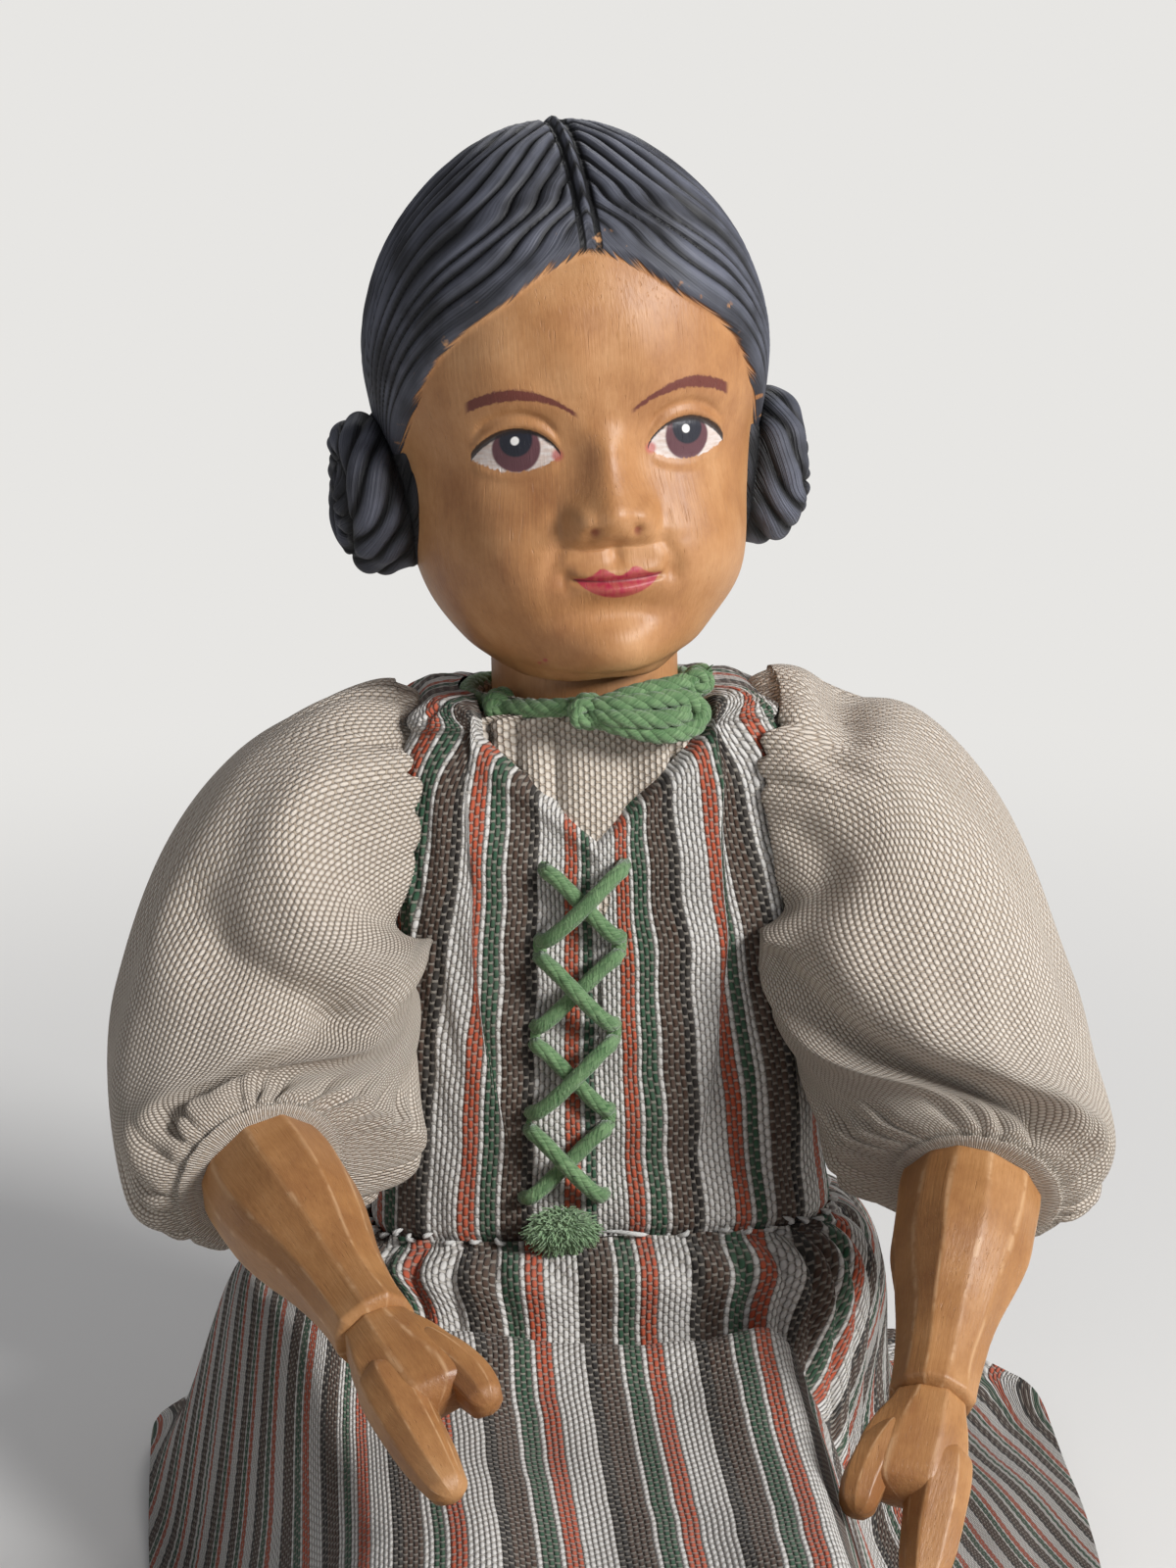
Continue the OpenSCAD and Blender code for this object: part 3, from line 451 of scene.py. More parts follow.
def finer(points: Sequence[Sequence[float]], steps: int) -> Array:
    """A smooth path through chosen points.

    Args:
        points: The points that the path goes through.
        steps: How many steps between two points.

    Returns:
        The path's points.
    """
    p = np.asarray(points, float)
    places = np.arange(len(p))
    s = np.linspace(0, len(p) - 1, (len(p) - 1) * steps + 1)
    return np.stack([through(places, p[:, k], s) for k in range(3)], 1)


def finish_piece(
    obj: Piece, material: Material, body: Optional[str] = None, nodes: Sequence[str] = ()
) -> Piece:
    """Gives a piece its material and its body, and hides the solids that it stands for.

    Args:
        obj: The finished piece.
        material: Its material.
        body: The body it rides on, or None to leave it unattached, as for the sleeve halves.
        nodes: The solids that it stands for.

    Returns:
        The same object.
    """
    obj.data.materials.append(material)
    if nodes:
        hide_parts(*nodes)
    if body:
        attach(obj, body)
    LOG.info("piece %s: %d faces", obj.name, len(obj.data.polygons))
    return obj


# Finishes


class Graph:
    """A material's nodes, with short calls that add and link them."""

    def __init__(self, name: str) -> None:
        """Starts an empty material.

        Args:
            name: The material's name.
        """
        self.material = bpy.data.materials.new(name)
        self.material.use_nodes = True
        self.tree = self.material.node_tree
        self.tree.nodes.clear()

    def node(self, kind: str, inputs: Optional[dict] = None, **settings: Any) -> bpy.types.Node:
        """Adds a node, with its settings and its inputs, which are values or sockets."""
        made = self.tree.nodes.new("ShaderNode" + kind)
        for name, value in settings.items():
            setattr(made, name, value)
        for name, value in (inputs or {}).items():
            self.give(made.inputs[name], value)
        return made

    def give(self, socket: Socket, value: Any) -> None:
        """Links a socket to an input, or sets the input's value."""
        if isinstance(value, bpy.types.NodeSocket):
            self.tree.links.new(value, socket)
        else:
            socket.default_value = (*value, 1.0) if socket.type == "RGBA" else value

    def math(self, operation: str, *values: Any) -> Socket:
        """A Math node's result."""
        made = self.node("Math", dict(enumerate(values)), operation=operation)
        return made.outputs[0]

    def add(self, a: Any, b: Any) -> Socket:
        """a + b."""
        return self.math("ADD", a, b)

    def take(self, a: Any, b: Any) -> Socket:
        """a - b."""
        return self.math("SUBTRACT", a, b)

    def times(self, a: Any, b: Any) -> Socket:
        """a times b."""
        return self.math("MULTIPLY", a, b)

    def step(self, value: Any, low: float, high: float, to_low: float = 0.0, to_high: float = 1.0) -> Socket:
        """Eases from one value to another as the input goes from low to high."""
        inputs = {0: value, 1: low, 2: high, 3: to_low, 4: to_high}
        return self.node("MapRange", inputs, interpolation_type="SMOOTHSTEP").outputs[0]

    def blend(self, share: Any, a: Any, b: Any) -> Socket:
        """Mixes two colours."""
        return self.node("Mix", {0: share, 6: a, 7: b}, data_type="RGBA").outputs[2]

    def blend_value(self, share: Any, a: Any, b: Any) -> Socket:
        """Mixes two numbers."""
        return self.node("Mix", {0: share, 2: a, 3: b}, data_type="FLOAT").outputs[0]

    def weighed(self, *pairs: tuple[Any, float]) -> Socket:
        """The sum of values, each times its weight."""
        total = self.times(*pairs[0])
        for value, weight in pairs[1:]:
            total = self.add(total, self.times(value, weight))
        return total

    def within(self, a: Socket, b: Socket) -> Socket:
        """Adds two masks, up to 1."""
        return self.math("MINIMUM", self.add(a, b), 1.0)

    def noise(self, vector: Socket, scale: float, detail: float = 2.0, rough: float = 0.5) -> Socket:
        """Noise from 0 to 1."""
        inputs = {"Vector": vector, "Scale": scale, "Detail": detail, "Roughness": rough}
        return self.node("TexNoise", inputs).outputs[0]

    def vector(self, x: Any, y: Any, z: Any) -> Socket:
        """Three numbers as a vector."""
        return self.node("CombineXYZ", {0: x, 1: y, 2: z}).outputs[0]

    def parts(self, vector: Socket) -> Sockets:
        """A vector's three numbers."""
        made = self.node("SeparateXYZ", {0: vector})
        return made.outputs[0], made.outputs[1], made.outputs[2]

    def held(self, name: str, kind: str = "Fac") -> Socket:
        """A number that the mesh holds, or with "Vector" a place."""
        return self.node("Attribute", attribute_name=name).outputs[kind]

    def ramp(self, share: Socket, stops: Sequence[tuple[float, Colour]], constant: bool = False) -> Socket:
        """A colour ramp."""
        made = self.node("ValToRGB", {0: share})
        made.color_ramp.interpolation = "CONSTANT" if constant else "LINEAR"
        marks = made.color_ramp.elements
        while len(marks) < len(stops):
            marks.new(1.0)
        for mark, (at, colour) in zip(marks, stops):
            mark.position = at
            mark.color = (*colour, 1.0)
        return made.outputs[0]

    def surface(
        self, colour: Any, rough: Any, height: Socket, depth: float, **constants: Any
    ) -> Material:
        """Ends the graph in a shader with bump.

        Args:
            colour: The base colour.
            rough: The roughness.
            height: The bump's height, from 0 to 1.
            depth: What a height of 1 is, in metres.
            **constants: Values for the shader's own sockets.

        Returns:
            The material.
        """
        bumped = self.node("Bump", {"Height": height, "Distance": depth, "Strength": 1.0})
        inputs = {"Base Color": colour, "Roughness": rough, "Normal": bumped.outputs[0]}
        shader = self.node("BsdfPrincipled", inputs)
        for name, value in constants.items():
            shader.inputs[name.replace("_", " ")].default_value = value
        self.node("OutputMaterial", {0: shader.outputs[0]})
        return self.material


@dataclass(frozen=True)
class WoodFinish:
    """Stained wood with grain along one axis."""

    name: str
    pale: Colour
    honey: Colour
    dark: Colour
    rough: float = 0.42

    def shade(self, g: Graph, at: Socket) -> Sockets:
        """The grain's colour, roughness and height.

        Args:
            g: The graph to add to.
            at: Place in millimetres, with the grain along Z.

        Returns:
            Colour, roughness and height sockets.
        """
        x, y, z = g.parts(at)
        bend = g.noise(at, 0.05, 2.0)
        wide = g.noise(g.vector(x, y, g.times(z, 0.1)), 0.22, 3.0, 0.55)
        fine = g.noise(g.vector(x, y, g.times(z, 0.03)), 3.4, 3.0, 0.6)
        pores = g.step(g.noise(g.vector(x, y, g.times(z, 0.06)), 5.0, 2.0), 0.64, 0.76)
        speckle = g.noise(g.vector(x, y, g.times(z, 0.5)), 2.2, 4.0, 0.7)
        mottle = g.noise(at, 0.19, 3.0, 0.6)
        tone = g.weighed((wide, 0.25), (bend, 0.3), (mottle, 0.3), (speckle, 0.15))
        base = g.ramp(tone, [(0.36, self.dark), (0.5, self.honey), (0.64, self.pale)])
        streaked = g.blend(g.step(fine, 0.42, 0.7, 0.0, 0.11), base, self.dark)
        colour = g.blend(g.times(pores, 0.13), streaked, self.dark)
        rough = g.add(self.rough, g.times(g.take(wide, 0.5), 0.25))
        height = g.take(g.times(fine, 0.4), g.times(pores, 0.3))
        return colour, rough, height

    def material(self, place: Optional[Place] = None) -> Material:
        """A wood material.

        Args:
            place: The frame whose Z the grain follows, or None for the model's own.

        Returns:
            The material.
        """
        g = Graph(self.name)
        at = g.node("TexCoord").outputs["Object"]
        if place is not None:
            turn = Matrix(place.turn.tolist()).to_euler()
            inputs = {"Vector": at, "Location": Vector(place.at * MM), "Rotation": turn}
            at = g.node("Mapping", inputs, vector_type="TEXTURE").outputs[0]
        at = g.node("VectorMath", {0: at, "Scale": 1 / MM}, operation="SCALE").outputs[0]
        colour, rough, height = self.shade(g, at)
        return g.surface(colour, rough, height, 0.00012, Specular_IOR_Level=0.4)


@dataclass(frozen=True)
class ClothFinish:
    """Hand-woven cloth, plain or striped, that follows the cut cloth's own coordinates.

    Each warp thread shows as a row of oval floats, and the weft shows between their ends. Where the threads
    sink, painted shade draws the colour toward the gap colour.
    """

    name: str
    weave: Weave
    warp: Colour
    weft: Colour
    # gap is the painted shade colour between the threads; the random stains also darken toward it.
    gap: Colour
    pitch: float = 0.58
    repeat: float = 1.2
    float_share: float = 0.8
    period: float = 11.5
    stripes: tuple[tuple[float, Colour], ...] = ()
    cover: float = 0.0
    wear: float = 0.1
    depth: float = 0.00034
    sway: float = 0.5

    def material(self) -> Material:
        """The cloth's material."""
        g = Graph(self.name)
        uv = g.node("UVMap", uv_map="cut").outputs[0]
        u, v, _ = g.parts(uv)
        x = g.math("DIVIDE", g.add(u, self.drift(g, u, v, 0.0)), self.pitch)
        column = g.math("FLOOR", x)
        slub = g.noise(g.vector(column, g.times(v, 0.22), 0.0), 1.7, 2.0)
        odd = g.times(g.math("PINGPONG", column, 1.0), 0.5)
        jog = g.times(slub, 0.3)
        y = g.add(g.math("DIVIDE", g.add(v, self.drift(g, v, u, 9.0)), self.repeat), g.add(odd, jog))
        across = g.math("ABSOLUTE", g.take(g.times(g.math("FRACT", x), 2.0), 1.0))
        along = g.math("ABSOLUTE", g.take(g.times(g.math("FRACT", y), 2.0), 1.0))
        reach = g.math("DIVIDE", along, self.float_share)
        warp_h = self.dome(g, across, reach)
        from_end = g.math("DIVIDE", g.take(1.0, along), 1.25 - self.float_share)
        weft_h = g.times(self.dome(g, g.times(across, 0.8), from_end), 0.55)
        top = g.step(g.take(warp_h, weft_h), -0.06, 0.06)
        height = g.math("MAXIMUM", warp_h, weft_h)
        warp = self.warp
        if self.weave is Weave.STRIPED:
            thread = g.times(g.add(column, 0.5), self.pitch / self.period)
            warp = g.ramp(g.math("FRACT", thread), [(at / self.period, c) for at, c in self.stripes], True)
        shade = g.step(slub, 0.25, 0.75, 0.0, self.wear)
        warp = g.blend(shade, warp, self.weft)
        weft = g.blend(self.cover, self.weft, warp)
        threads = g.blend(top, weft, warp)
        # Painted shade: where the threads sink low, the colour is drawn most of the way to the gap colour.
        deep = g.step(height, 0.1, 0.75)
        threads_gap_shaded = g.blend(deep, g.blend(0.72, threads, self.gap), threads)
        stain = g.step(g.noise(uv, 0.06, 3.0), 0.4, 0.75, 0.0, 0.22)
        colour = g.blend(stain, threads_gap_shaded, g.blend(0.5, threads_gap_shaded, self.gap))
        fuzz = g.times(g.noise(uv, 7.0, 2.0), 0.14)
        return g.surface(
            colour, 0.9, g.add(height, fuzz), self.depth,
            Specular_IOR_Level=0.15, Sheen_Weight=0.1, Sheen_Roughness=0.6,
        )

    def drift(self, g: Graph, first: Socket, second: Socket, seed: float) -> Socket:
        """How far a hand-woven thread wanders from its line, in millimetres."""
        wander = g.noise(g.vector(g.times(first, 0.3), second, seed), 0.12, 2.0)
        return g.times(g.take(wander, 0.5), self.sway)

    @staticmethod
    def dome(g: Graph, across: Socket, along: Socket) -> Socket:
        """A rounded oval, 1 in the middle and 0 from its edge on."""
        far = g.add(g.math("POWER", across, 2.2), g.math("POWER", along, 2.4))
        return g.math("SQRT", g.math("MAXIMUM", g.take(1.0, far), 0.0))


@dataclass(frozen=True)
class YarnFinish:
    """Soft twisted cotton, with fibres that follow the yarn."""

    name: str
    light: Colour
    deep: Colour

    def material(self) -> Material:
        """The yarn's material."""
        g = Graph(self.name)
        uv = g.node("UVMap", uv_map="cut").outputs[0]
        u, v, _ = g.parts(uv)
        twist = g.times(v, 0.5)
        strand = g.noise(g.vector(g.times(g.add(u, twist), 7.0), twist, 0.0), 1.0, 3.0, 0.6)
        blotch = g.noise(g.vector(u, g.times(v, 0.3), 5.0), 1.0, 2.0)
        share = g.weighed((strand, 0.7), (blotch, 0.3))
        colour = g.ramp(share, [(0.32, self.deep), (0.66, self.light)])
        return g.surface(
            colour, 0.85, strand, 0.00025, Specular_IOR_Level=0.2, Sheen_Weight=0.3, Sheen_Roughness=0.5
        )


@dataclass(frozen=True)
class HairPaint:
    """Slate paint over carved hair, worn paler on the ridges, with painted shade darkening the grooves."""

    # groove is a painted shade colour: the darkening that falls in the carved grooves.
    groove: Colour = (0.004, 0.004, 0.005)
    body: Colour = (0.018, 0.018, 0.022)
    worn: Colour = (0.110, 0.116, 0.148)

    def shade(self, g: Graph, ridge: Socket, at: Socket, along: Socket) -> tuple[Socket, Socket]:
        """The paint's colour, with painted shade in the grooves, and its roughness.

        Args:
            g: The graph to add to.
            ridge: 0 in a groove and 1 on a ridge.
            at: Place in millimetres.
            along: A coordinate that changes across the strands.

        Returns:
            Colour and roughness sockets.
        """
        x, y, z = g.parts(at)
        patch = g.noise(at, 0.16, 3.0)
        scratch = g.noise(g.vector(g.times(along, 9.0), g.times(y, 0.1), g.times(z, 0.1)), 1.0, 3.0, 0.7)
        rubbed = g.times(g.step(ridge, 0.45, 1.0), g.step(g.add(patch, g.times(scratch, 0.5)), 0.45, 0.95))
        # Painted shade: the colour goes from the body colour to the darker groove colour where the ridge mask
        # falls into a groove.
        base = g.blend(g.step(ridge, 0.3, 0.75), self.groove, self.body)
        colour = g.blend(rubbed, base, self.worn)
        return colour, g.add(0.5, g.times(scratch, 0.2))


@dataclass(frozen=True)
class FacePaint:
    """The painted features, placed in the head's own frame, in millimetres."""

    middle: float = 0.45
    eye_x: float = 9.15
    eye_z: float = 25.2
    eye_half: float = 4.4
    upper_lid: float = 2.75
    lower_lid: float = 1.35
    mouth_x: float = 0.85
    mouth_z: float = 12.6
    mouth_half: float = 4.6
    # glint is the colour of the painted highlight in each eye.
    glint: Colour = (0.85, 0.83, 0.80)
    brow: Colour = (0.115, 0.022, 0.018)
    white: Colour = (0.62, 0.56, 0.53)
    iris: Colour = (0.105, 0.040, 0.048)
    pupil: Colour = (0.012, 0.013, 0.022)
    line: Colour = (0.016, 0.010, 0.010)
    corner: Colour = (0.42, 0.09, 0.08)
    lip: Colour = (0.36, 0.024, 0.052)
    lip_line: Colour = (0.10, 0.008, 0.014)
    nostril: Colour = (0.20, 0.035, 0.022)

    @staticmethod
    def disc(
        g: Graph, x: Socket, z: Socket, at: tuple[float, float], r: float, soft: float = 0.14
    ) -> Socket:
        """1 inside a painted dot."""
        dx = g.take(x, at[0])
        dz = g.take(z, at[1])
        far = g.math("SQRT", g.add(g.times(dx, dx), g.times(dz, dz)))
        return g.step(far, r - soft, r + soft, 1.0, 0.0)

    @staticmethod
    def band(g: Graph, off: Socket, half: Any, soft: float = 0.12) -> Socket:
        """1 within half a width of a line."""
        return g.step(g.take(g.math("ABSOLUTE", off), half), -soft, soft, 1.0, 0.0)

    @staticmethod
    def hill(g: Graph, across: Socket) -> Socket:
        """1 in a feature's middle, falling to 0 where across is 1 or -1."""
        return g.math("MAXIMUM", g.take(1.0, g.times(across, across)), 0.0)

    def paint(self, g: Graph, base: Socket, at: Socket) -> Socket:
        """Paints the features over the wood.

        Args:
            g: The graph to add to.
            base: The wood's colour.
            at: Place in the head's frame.

        Returns:
            The painted colour.
        """
        x, y, z = g.parts(at)
        rag = g.take(g.noise(at, 2.2, 2.0), 0.5)
        side = g.math("ABSOLUTE", g.take(x, self.middle))
        colour = self.eyes(g, base, rag, (x, side, z))
        colour = self.brows(g, colour, rag, (x, side, z))
        rub = g.step(g.noise(at, 1.6, 3.0), 0.35, 0.7, 0.75, 1.0)
        colour = self.lips(g, colour, rag, rub, (x, side, z))
        right_hole = self.disc(g, x, z, (-1.6, 17.75), 0.4, 0.3)
        left_hole = self.disc(g, x, z, (2.8, 17.6), 0.4, 0.3)
        colour = g.blend(g.times(g.within(right_hole, left_hole), 0.75), colour, self.nostril)
        marks = g.within(self.disc(g, x, z, (-6.4, 4.0), 0.22), self.disc(g, x, z, (-6.9, 3.5), 0.18))
        colour = g.blend(g.times(marks, 0.7), colour, self.lip)
        return g.blend(g.step(y, -4.0, -8.0), base, colour)

    def eyes(self, g: Graph, base: Socket, rag: Socket, at: Sockets) -> Socket:
        """Paints both eyes with their lash lines and a painted highlight in each.

        Args:
            g: The graph to add to.
            base: The wood's colour.
            rag: The brush's unevenness.
            at: Place across, distance from the face's middle, and height.

        Returns:
            The painted colour.
        """
        x, side, z = at
        e = g.math("DIVIDE", g.take(side, self.eye_x), self.eye_half)
        k = self.hill(g, e)
        upper = g.add(self.eye_z, g.times(g.math("POWER", k, 0.75), self.upper_lid))
        lower = g.take(g.add(self.eye_z, g.times(rag, 0.7)), g.times(k, self.lower_lid))
        lid = g.take(upper, z)
        open_eye = g.times(g.step(lid, -0.05, 0.1), g.step(g.take(z, lower), -0.1, 0.12))
        open_eye = g.times(open_eye, g.step(k, 0.0, 0.03))
        stroke = g.step(g.noise(g.vector(g.times(x, 0.3), z, 0.0), 3.0, 2.0), 0.3, 0.7)
        eye = g.blend(g.times(stroke, 0.35), self.white, base)
        eye = g.blend(self.disc(g, side, z, (self.eye_x, 26.15), 2.4), eye, self.iris)
        eye = g.blend(self.disc(g, side, z, (self.eye_x + 0.05, 27.0), 1.65), eye, self.pupil)
        # A painted highlight: a small white glint dot in each eye, on the same side in both.
        left_glint = self.disc(g, x, z, (9.45, 26.9), 0.42, 0.08)
        right_glint = self.disc(g, x, z, (-8.85, 26.95), 0.42, 0.08)
        eye = g.blend(g.within(right_glint, left_glint), eye, self.glint)
        colour = g.blend(open_eye, base, eye)
        pink = self.disc(g, side, z, (self.eye_x - self.eye_half + 0.35, self.eye_z + 0.1), 0.55, 0.25)
        colour = g.blend(g.times(pink, 0.8), colour, self.corner)
        outer = g.step(e, -1.0, 1.1, 0.18, 0.42)
        lash = g.times(self.band(g, g.add(lid, g.times(rag, 0.25)), outer), g.step(k, 0.0, 0.04))
        return g.blend(g.times(lash, 0.93), colour, self.line)

    def brows(self, g: Graph, base: Socket, rag: Socket, at: Sockets) -> Socket:
        """Paints both brows, with the same values as the eyes."""
        _, side, z = at
        from_top = g.take(side, 9.3)
        arc = g.take(31.9, g.times(g.times(from_top, from_top), 0.062))
        thick = g.step(side, 2.6, 10.0, 0.22, 0.6)
        brow = self.band(g, g.add(g.take(z, arc), g.times(rag, 0.5)), thick, 0.14)
        brow = g.times(brow, g.times(g.step(side, 2.6, 3.4), g.step(side, 13.4, 14.0, 1.0, 0.0)))
        return g.blend(g.times(brow, 0.94), base, self.brow)

    def lips(
        self, g: Graph, base: Socket, rag: Socket, rub: Socket, at: Sockets
    ) -> Socket:
        """Paints the lips and the line between them.

        Args:
            g: The graph to add to.
            base: The colour so far.
            rag: The brush's unevenness.
            rub: How much of the paint is left.
            at: Place across, distance from the face's middle, and height.

        Returns:
            The painted colour.
        """
        x, _, z = at
        m = g.math("DIVIDE", g.take(x, self.mouth_x), self.mouth_half)
        wide = self.hill(g, m)
        peak = g.take(g.math("ABSOLUTE", m), 0.38)
        peak = g.math("POWER", 2.718, g.times(g.times(peak, peak), -18.0))
        top = g.add(12.8, g.times(g.times(peak, wide), 1.05))
        low = g.take(12.95, g.times(g.math("POWER", wide, 0.9), 2.45))
        below_top = g.step(g.add(g.take(top, z), g.times(rag, 0.25)), -0.1, 0.14)
        both = g.times(below_top, g.step(g.take(z, low), -0.1, 0.14))
        both = g.times(both, g.step(wide, 0.0, 0.06))
        colour = g.blend(g.times(both, rub), base, self.lip)
        mouth = g.take(z, g.take(self.mouth_z, g.times(wide, 0.35)))
        parted = g.times(self.band(g, mouth, 0.1, 0.14), g.step(wide, 0.0, 0.1))
        return g.blend(g.times(parted, 0.8), colour, self.lip_line)


FACE = FacePaint()
FACE_WOOD = WoodFinish(
    "face_honey_wood", (0.53, 0.285, 0.130), (0.42, 0.200, 0.078), (0.29, 0.118, 0.042), 0.46
)
LIMB_WOOD = WoodFinish(
    "limb_honey_wood", (0.48, 0.255, 0.108), (0.36, 0.170, 0.060), (0.24, 0.098, 0.032), 0.42
)
BODY_WOOD = WoodFinish(
    "body_plain_wood", (0.62, 0.44, 0.27), (0.54, 0.36, 0.20), (0.38, 0.23, 0.12), 0.55
)
PEG_WOOD = WoodFinish(
    "peg_turned_wood", (0.66, 0.49, 0.31), (0.58, 0.40, 0.24), (0.42, 0.27, 0.15), 0.50
)
# The third colour of each cloth is its gap colour, the painted shade between its threads.
LINEN = ClothFinish(
    "coarse_linen", Weave.PLAIN, (0.66, 0.59, 0.51), (0.46, 0.385, 0.305), (0.19, 0.13, 0.085),
    pitch=0.58, repeat=0.96, float_share=0.9, wear=0.35,
)
CREAM = (0.62, 0.60, 0.57)
BROWN = (0.066, 0.036, 0.024)
BLACK = (0.014, 0.011, 0.010)
RED = (0.45, 0.082, 0.034)
GREEN = (0.028, 0.085, 0.046)
STRIPES = ClothFinish(
    "woven_stripes",
    Weave.STRIPED,
    CREAM,
    (0.46, 0.42, 0.36),
    # The gap colour: painted shade between the threads.
    (0.05, 0.04, 0.032),
    float_share=0.88,
    cover=0.45,
    stripes=((0.0, RED), (1.65, CREAM), (2.3, GREEN), (3.9, CREAM), (4.7, BROWN), (7.1, BLACK), (8.2, CREAM)),
)
GREEN_YARN = YarnFinish("green_cotton", (0.20, 0.32, 0.155), (0.045, 0.115, 0.04))
GREEN_TUFT = YarnFinish("green_cut_cotton", (0.40, 0.56, 0.32), (0.13, 0.27, 0.12))
WHITE_THREAD = YarnFinish("white_cotton", (0.74, 0.73, 0.70), (0.45, 0.44, 0.42))


# The doll's frames


@dataclass(frozen=True)
class Trunk:
    """The trunk's form under the clothes, in its own leaning frame."""

    foot: float = 5.0
    waist: float = 29.5
    shoulder: float = 74.0
    top: float = 84.0
    hip_width: float = 42.0
    waist_width: float = 41.0
    chest_width: float = 38.5
    top_width: float = 34.0
    waist_depth: float = 25.0
    chest_depth: float = 26.0
    top_depth: float = 21.0
    roundness: float = 2.6
    waist_ease: float = 0.9
    cover: float = 2.3
    corner: float = 0.85
    brow: float = 1.0
    over_length: float = 9.0
    square: tuple[float, float] = (3.6, 7.4)
    square_from: float = 32.0
    square_over: float = 32.0
    side_ease: float = 1.6
    armhole: float = 11.6

    @property
    def heights(self) -> list[float]:
        """Heights at which the widths and depths are known."""
        return [
            self.foot, self.waist, mix(self.waist, self.shoulder, 0.66), self.shoulder,
            mix(self.shoulder, self.top, 0.55), self.top,
        ]

    def half_width(self, z: Any) -> Array:
        """Half the width at a height."""
        chest = self.chest_width
        widths = [self.hip_width, self.waist_width, chest, chest, chest, self.top_width]
        return through(self.heights, np.array(widths) / 2, z)

    def half_depth(self, z: Any) -> Array:
        """Half the depth at a height."""
        waist, chest = self.waist_depth, self.chest_depth
        depths = [waist, waist, chest, chest * 0.94, mix(chest * 0.94, self.top_depth, 0.55), self.top_depth]
        return through(self.heights, np.array(depths) / 2, z)

    def ease(self, z: Any) -> Array:
        """How much the bodice stands off at the waist."""
        return self.waist_ease * (1 - smooth((z - self.waist) / (self.top - self.waist) * 2))

    def corner_power(self, z: Any) -> Array:
        """How square the bodice is round the trunk at a height."""
        return mix(*self.square, smooth((np.asarray(z) - self.square_from) / self.square_over))

    def flare(self, angle: Array, z: Any) -> Array:
        """Extra room in the bodice at the waist's sides."""
        return self.side_ease * np.cos(angle) ** 2 * (1 - smooth((z - self.waist) / 26))

    def layer(self, angle: Array, z: Array, out: Any, square: bool = False) -> Array:
        """Points a distance out from the trunk.

        Args:
            angle: Angle round the trunk in radians, from the doll's left.
            z: Height.
            out: Distance out.
            square: Whether the corners are as square as the bodice's.

        Returns:
            Rows of three numbers in the trunk's frame.
        """
        n = self.corner_power(z) if square else self.roundness
        high = np.minimum(z + 0.5, self.top)
        slope = (self.half_width(high) - self.half_width(z - 0.5)) / (high - z + 0.5)
        flat = out / np.sqrt(1 + slope**2)
        x = (self.half_width(z) + flat) * power(np.cos(angle), n)
        y = (self.half_depth(z) + flat) * power(np.sin(angle), n)
        return np.stack([x, y, z - slope * flat], 1)

    def cap(self, angle: Array, inward: Any, z: float, square: bool = False) -> Array:
        """A ring above the trunk's top, moved in from its edge."""
        n = self.corner_power(self.top) if square else self.roundness
        x = (self.top_width / 2 - inward) * power(np.cos(angle), n)
        y = (self.top_depth / 2 - inward) * power(np.sin(angle), n)
        return np.stack([x, y, np.full(len(angle), z)], 1)

    def drape(
        self, angle: Array, rise: Array, out: Array, end: Array, square: bool = False
    ) -> Array:
        """Points of a cloth that goes up the trunk and over the shoulders.

        Args:
            angle: Angle round the trunk in radians.
            rise: Length up the cloth from the waist.
            out: Distance out from the trunk.
            end: Where the cloth ends over the shoulders, as rows of three numbers.
            square: Whether the corners are as square as the bodice's.

        Returns:
            Rows of three numbers in the trunk's frame.
        """
        side = self.top - self.brow - self.waist
        low = self.layer(angle, self.waist + np.clip(rise, 0, side), out, square)
        t = np.clip((rise - side) / self.over_length, 0, 1)[:, None]
        start = self.layer(angle, np.full(len(angle), self.top - self.brow), out, square)
        corner = self.cap(angle, -self.corner * out, 0.0, square)
        corner[:, 2] = self.top + out
        knee = 2 * corner - (start + end) / 2
        high = (1 - t) ** 2 * start + 2 * t * (1 - t) * knee + t**2 * end
        return np.where(t > 0, high, low)


TRUNK = Trunk()


@dataclass(frozen=True)
class ArmPose:
    """One arm's frames, from the shoulder to the hand."""

    side: Side
    swing: float
    bend: float
    face: float = 18.55
    axis_x: float = 7.4
    cant: float = 20.0
    twist: float = -62.0
    upper: float = 39.984

    def shoulder(self) -> Place:
        """The shoulder's frame, mirrored for the right arm."""
        base = trunk_place().mirrored(self.side)
        return base.moved(self.face, 0, TRUNK.shoulder)

    def arm(self) -> Place:
        """The upper arm's frame."""
        return self.shoulder().turned("X", -self.swing).moved(self.axis_x, 0, 0).turned("Y", -self.cant)

    def forearm(self) -> Place:
        """The forearm's frame, at the elbow peg."""
        return self.arm().moved(0, 0, -self.upper).turned("Z", self.twist).turned("X", -self.bend)


ARMS = {Side.LEFT: ArmPose(Side.LEFT, 34.0, 40.0), Side.RIGHT: ArmPose(Side.RIGHT, 44.0, 48.0)}


# Head and hair


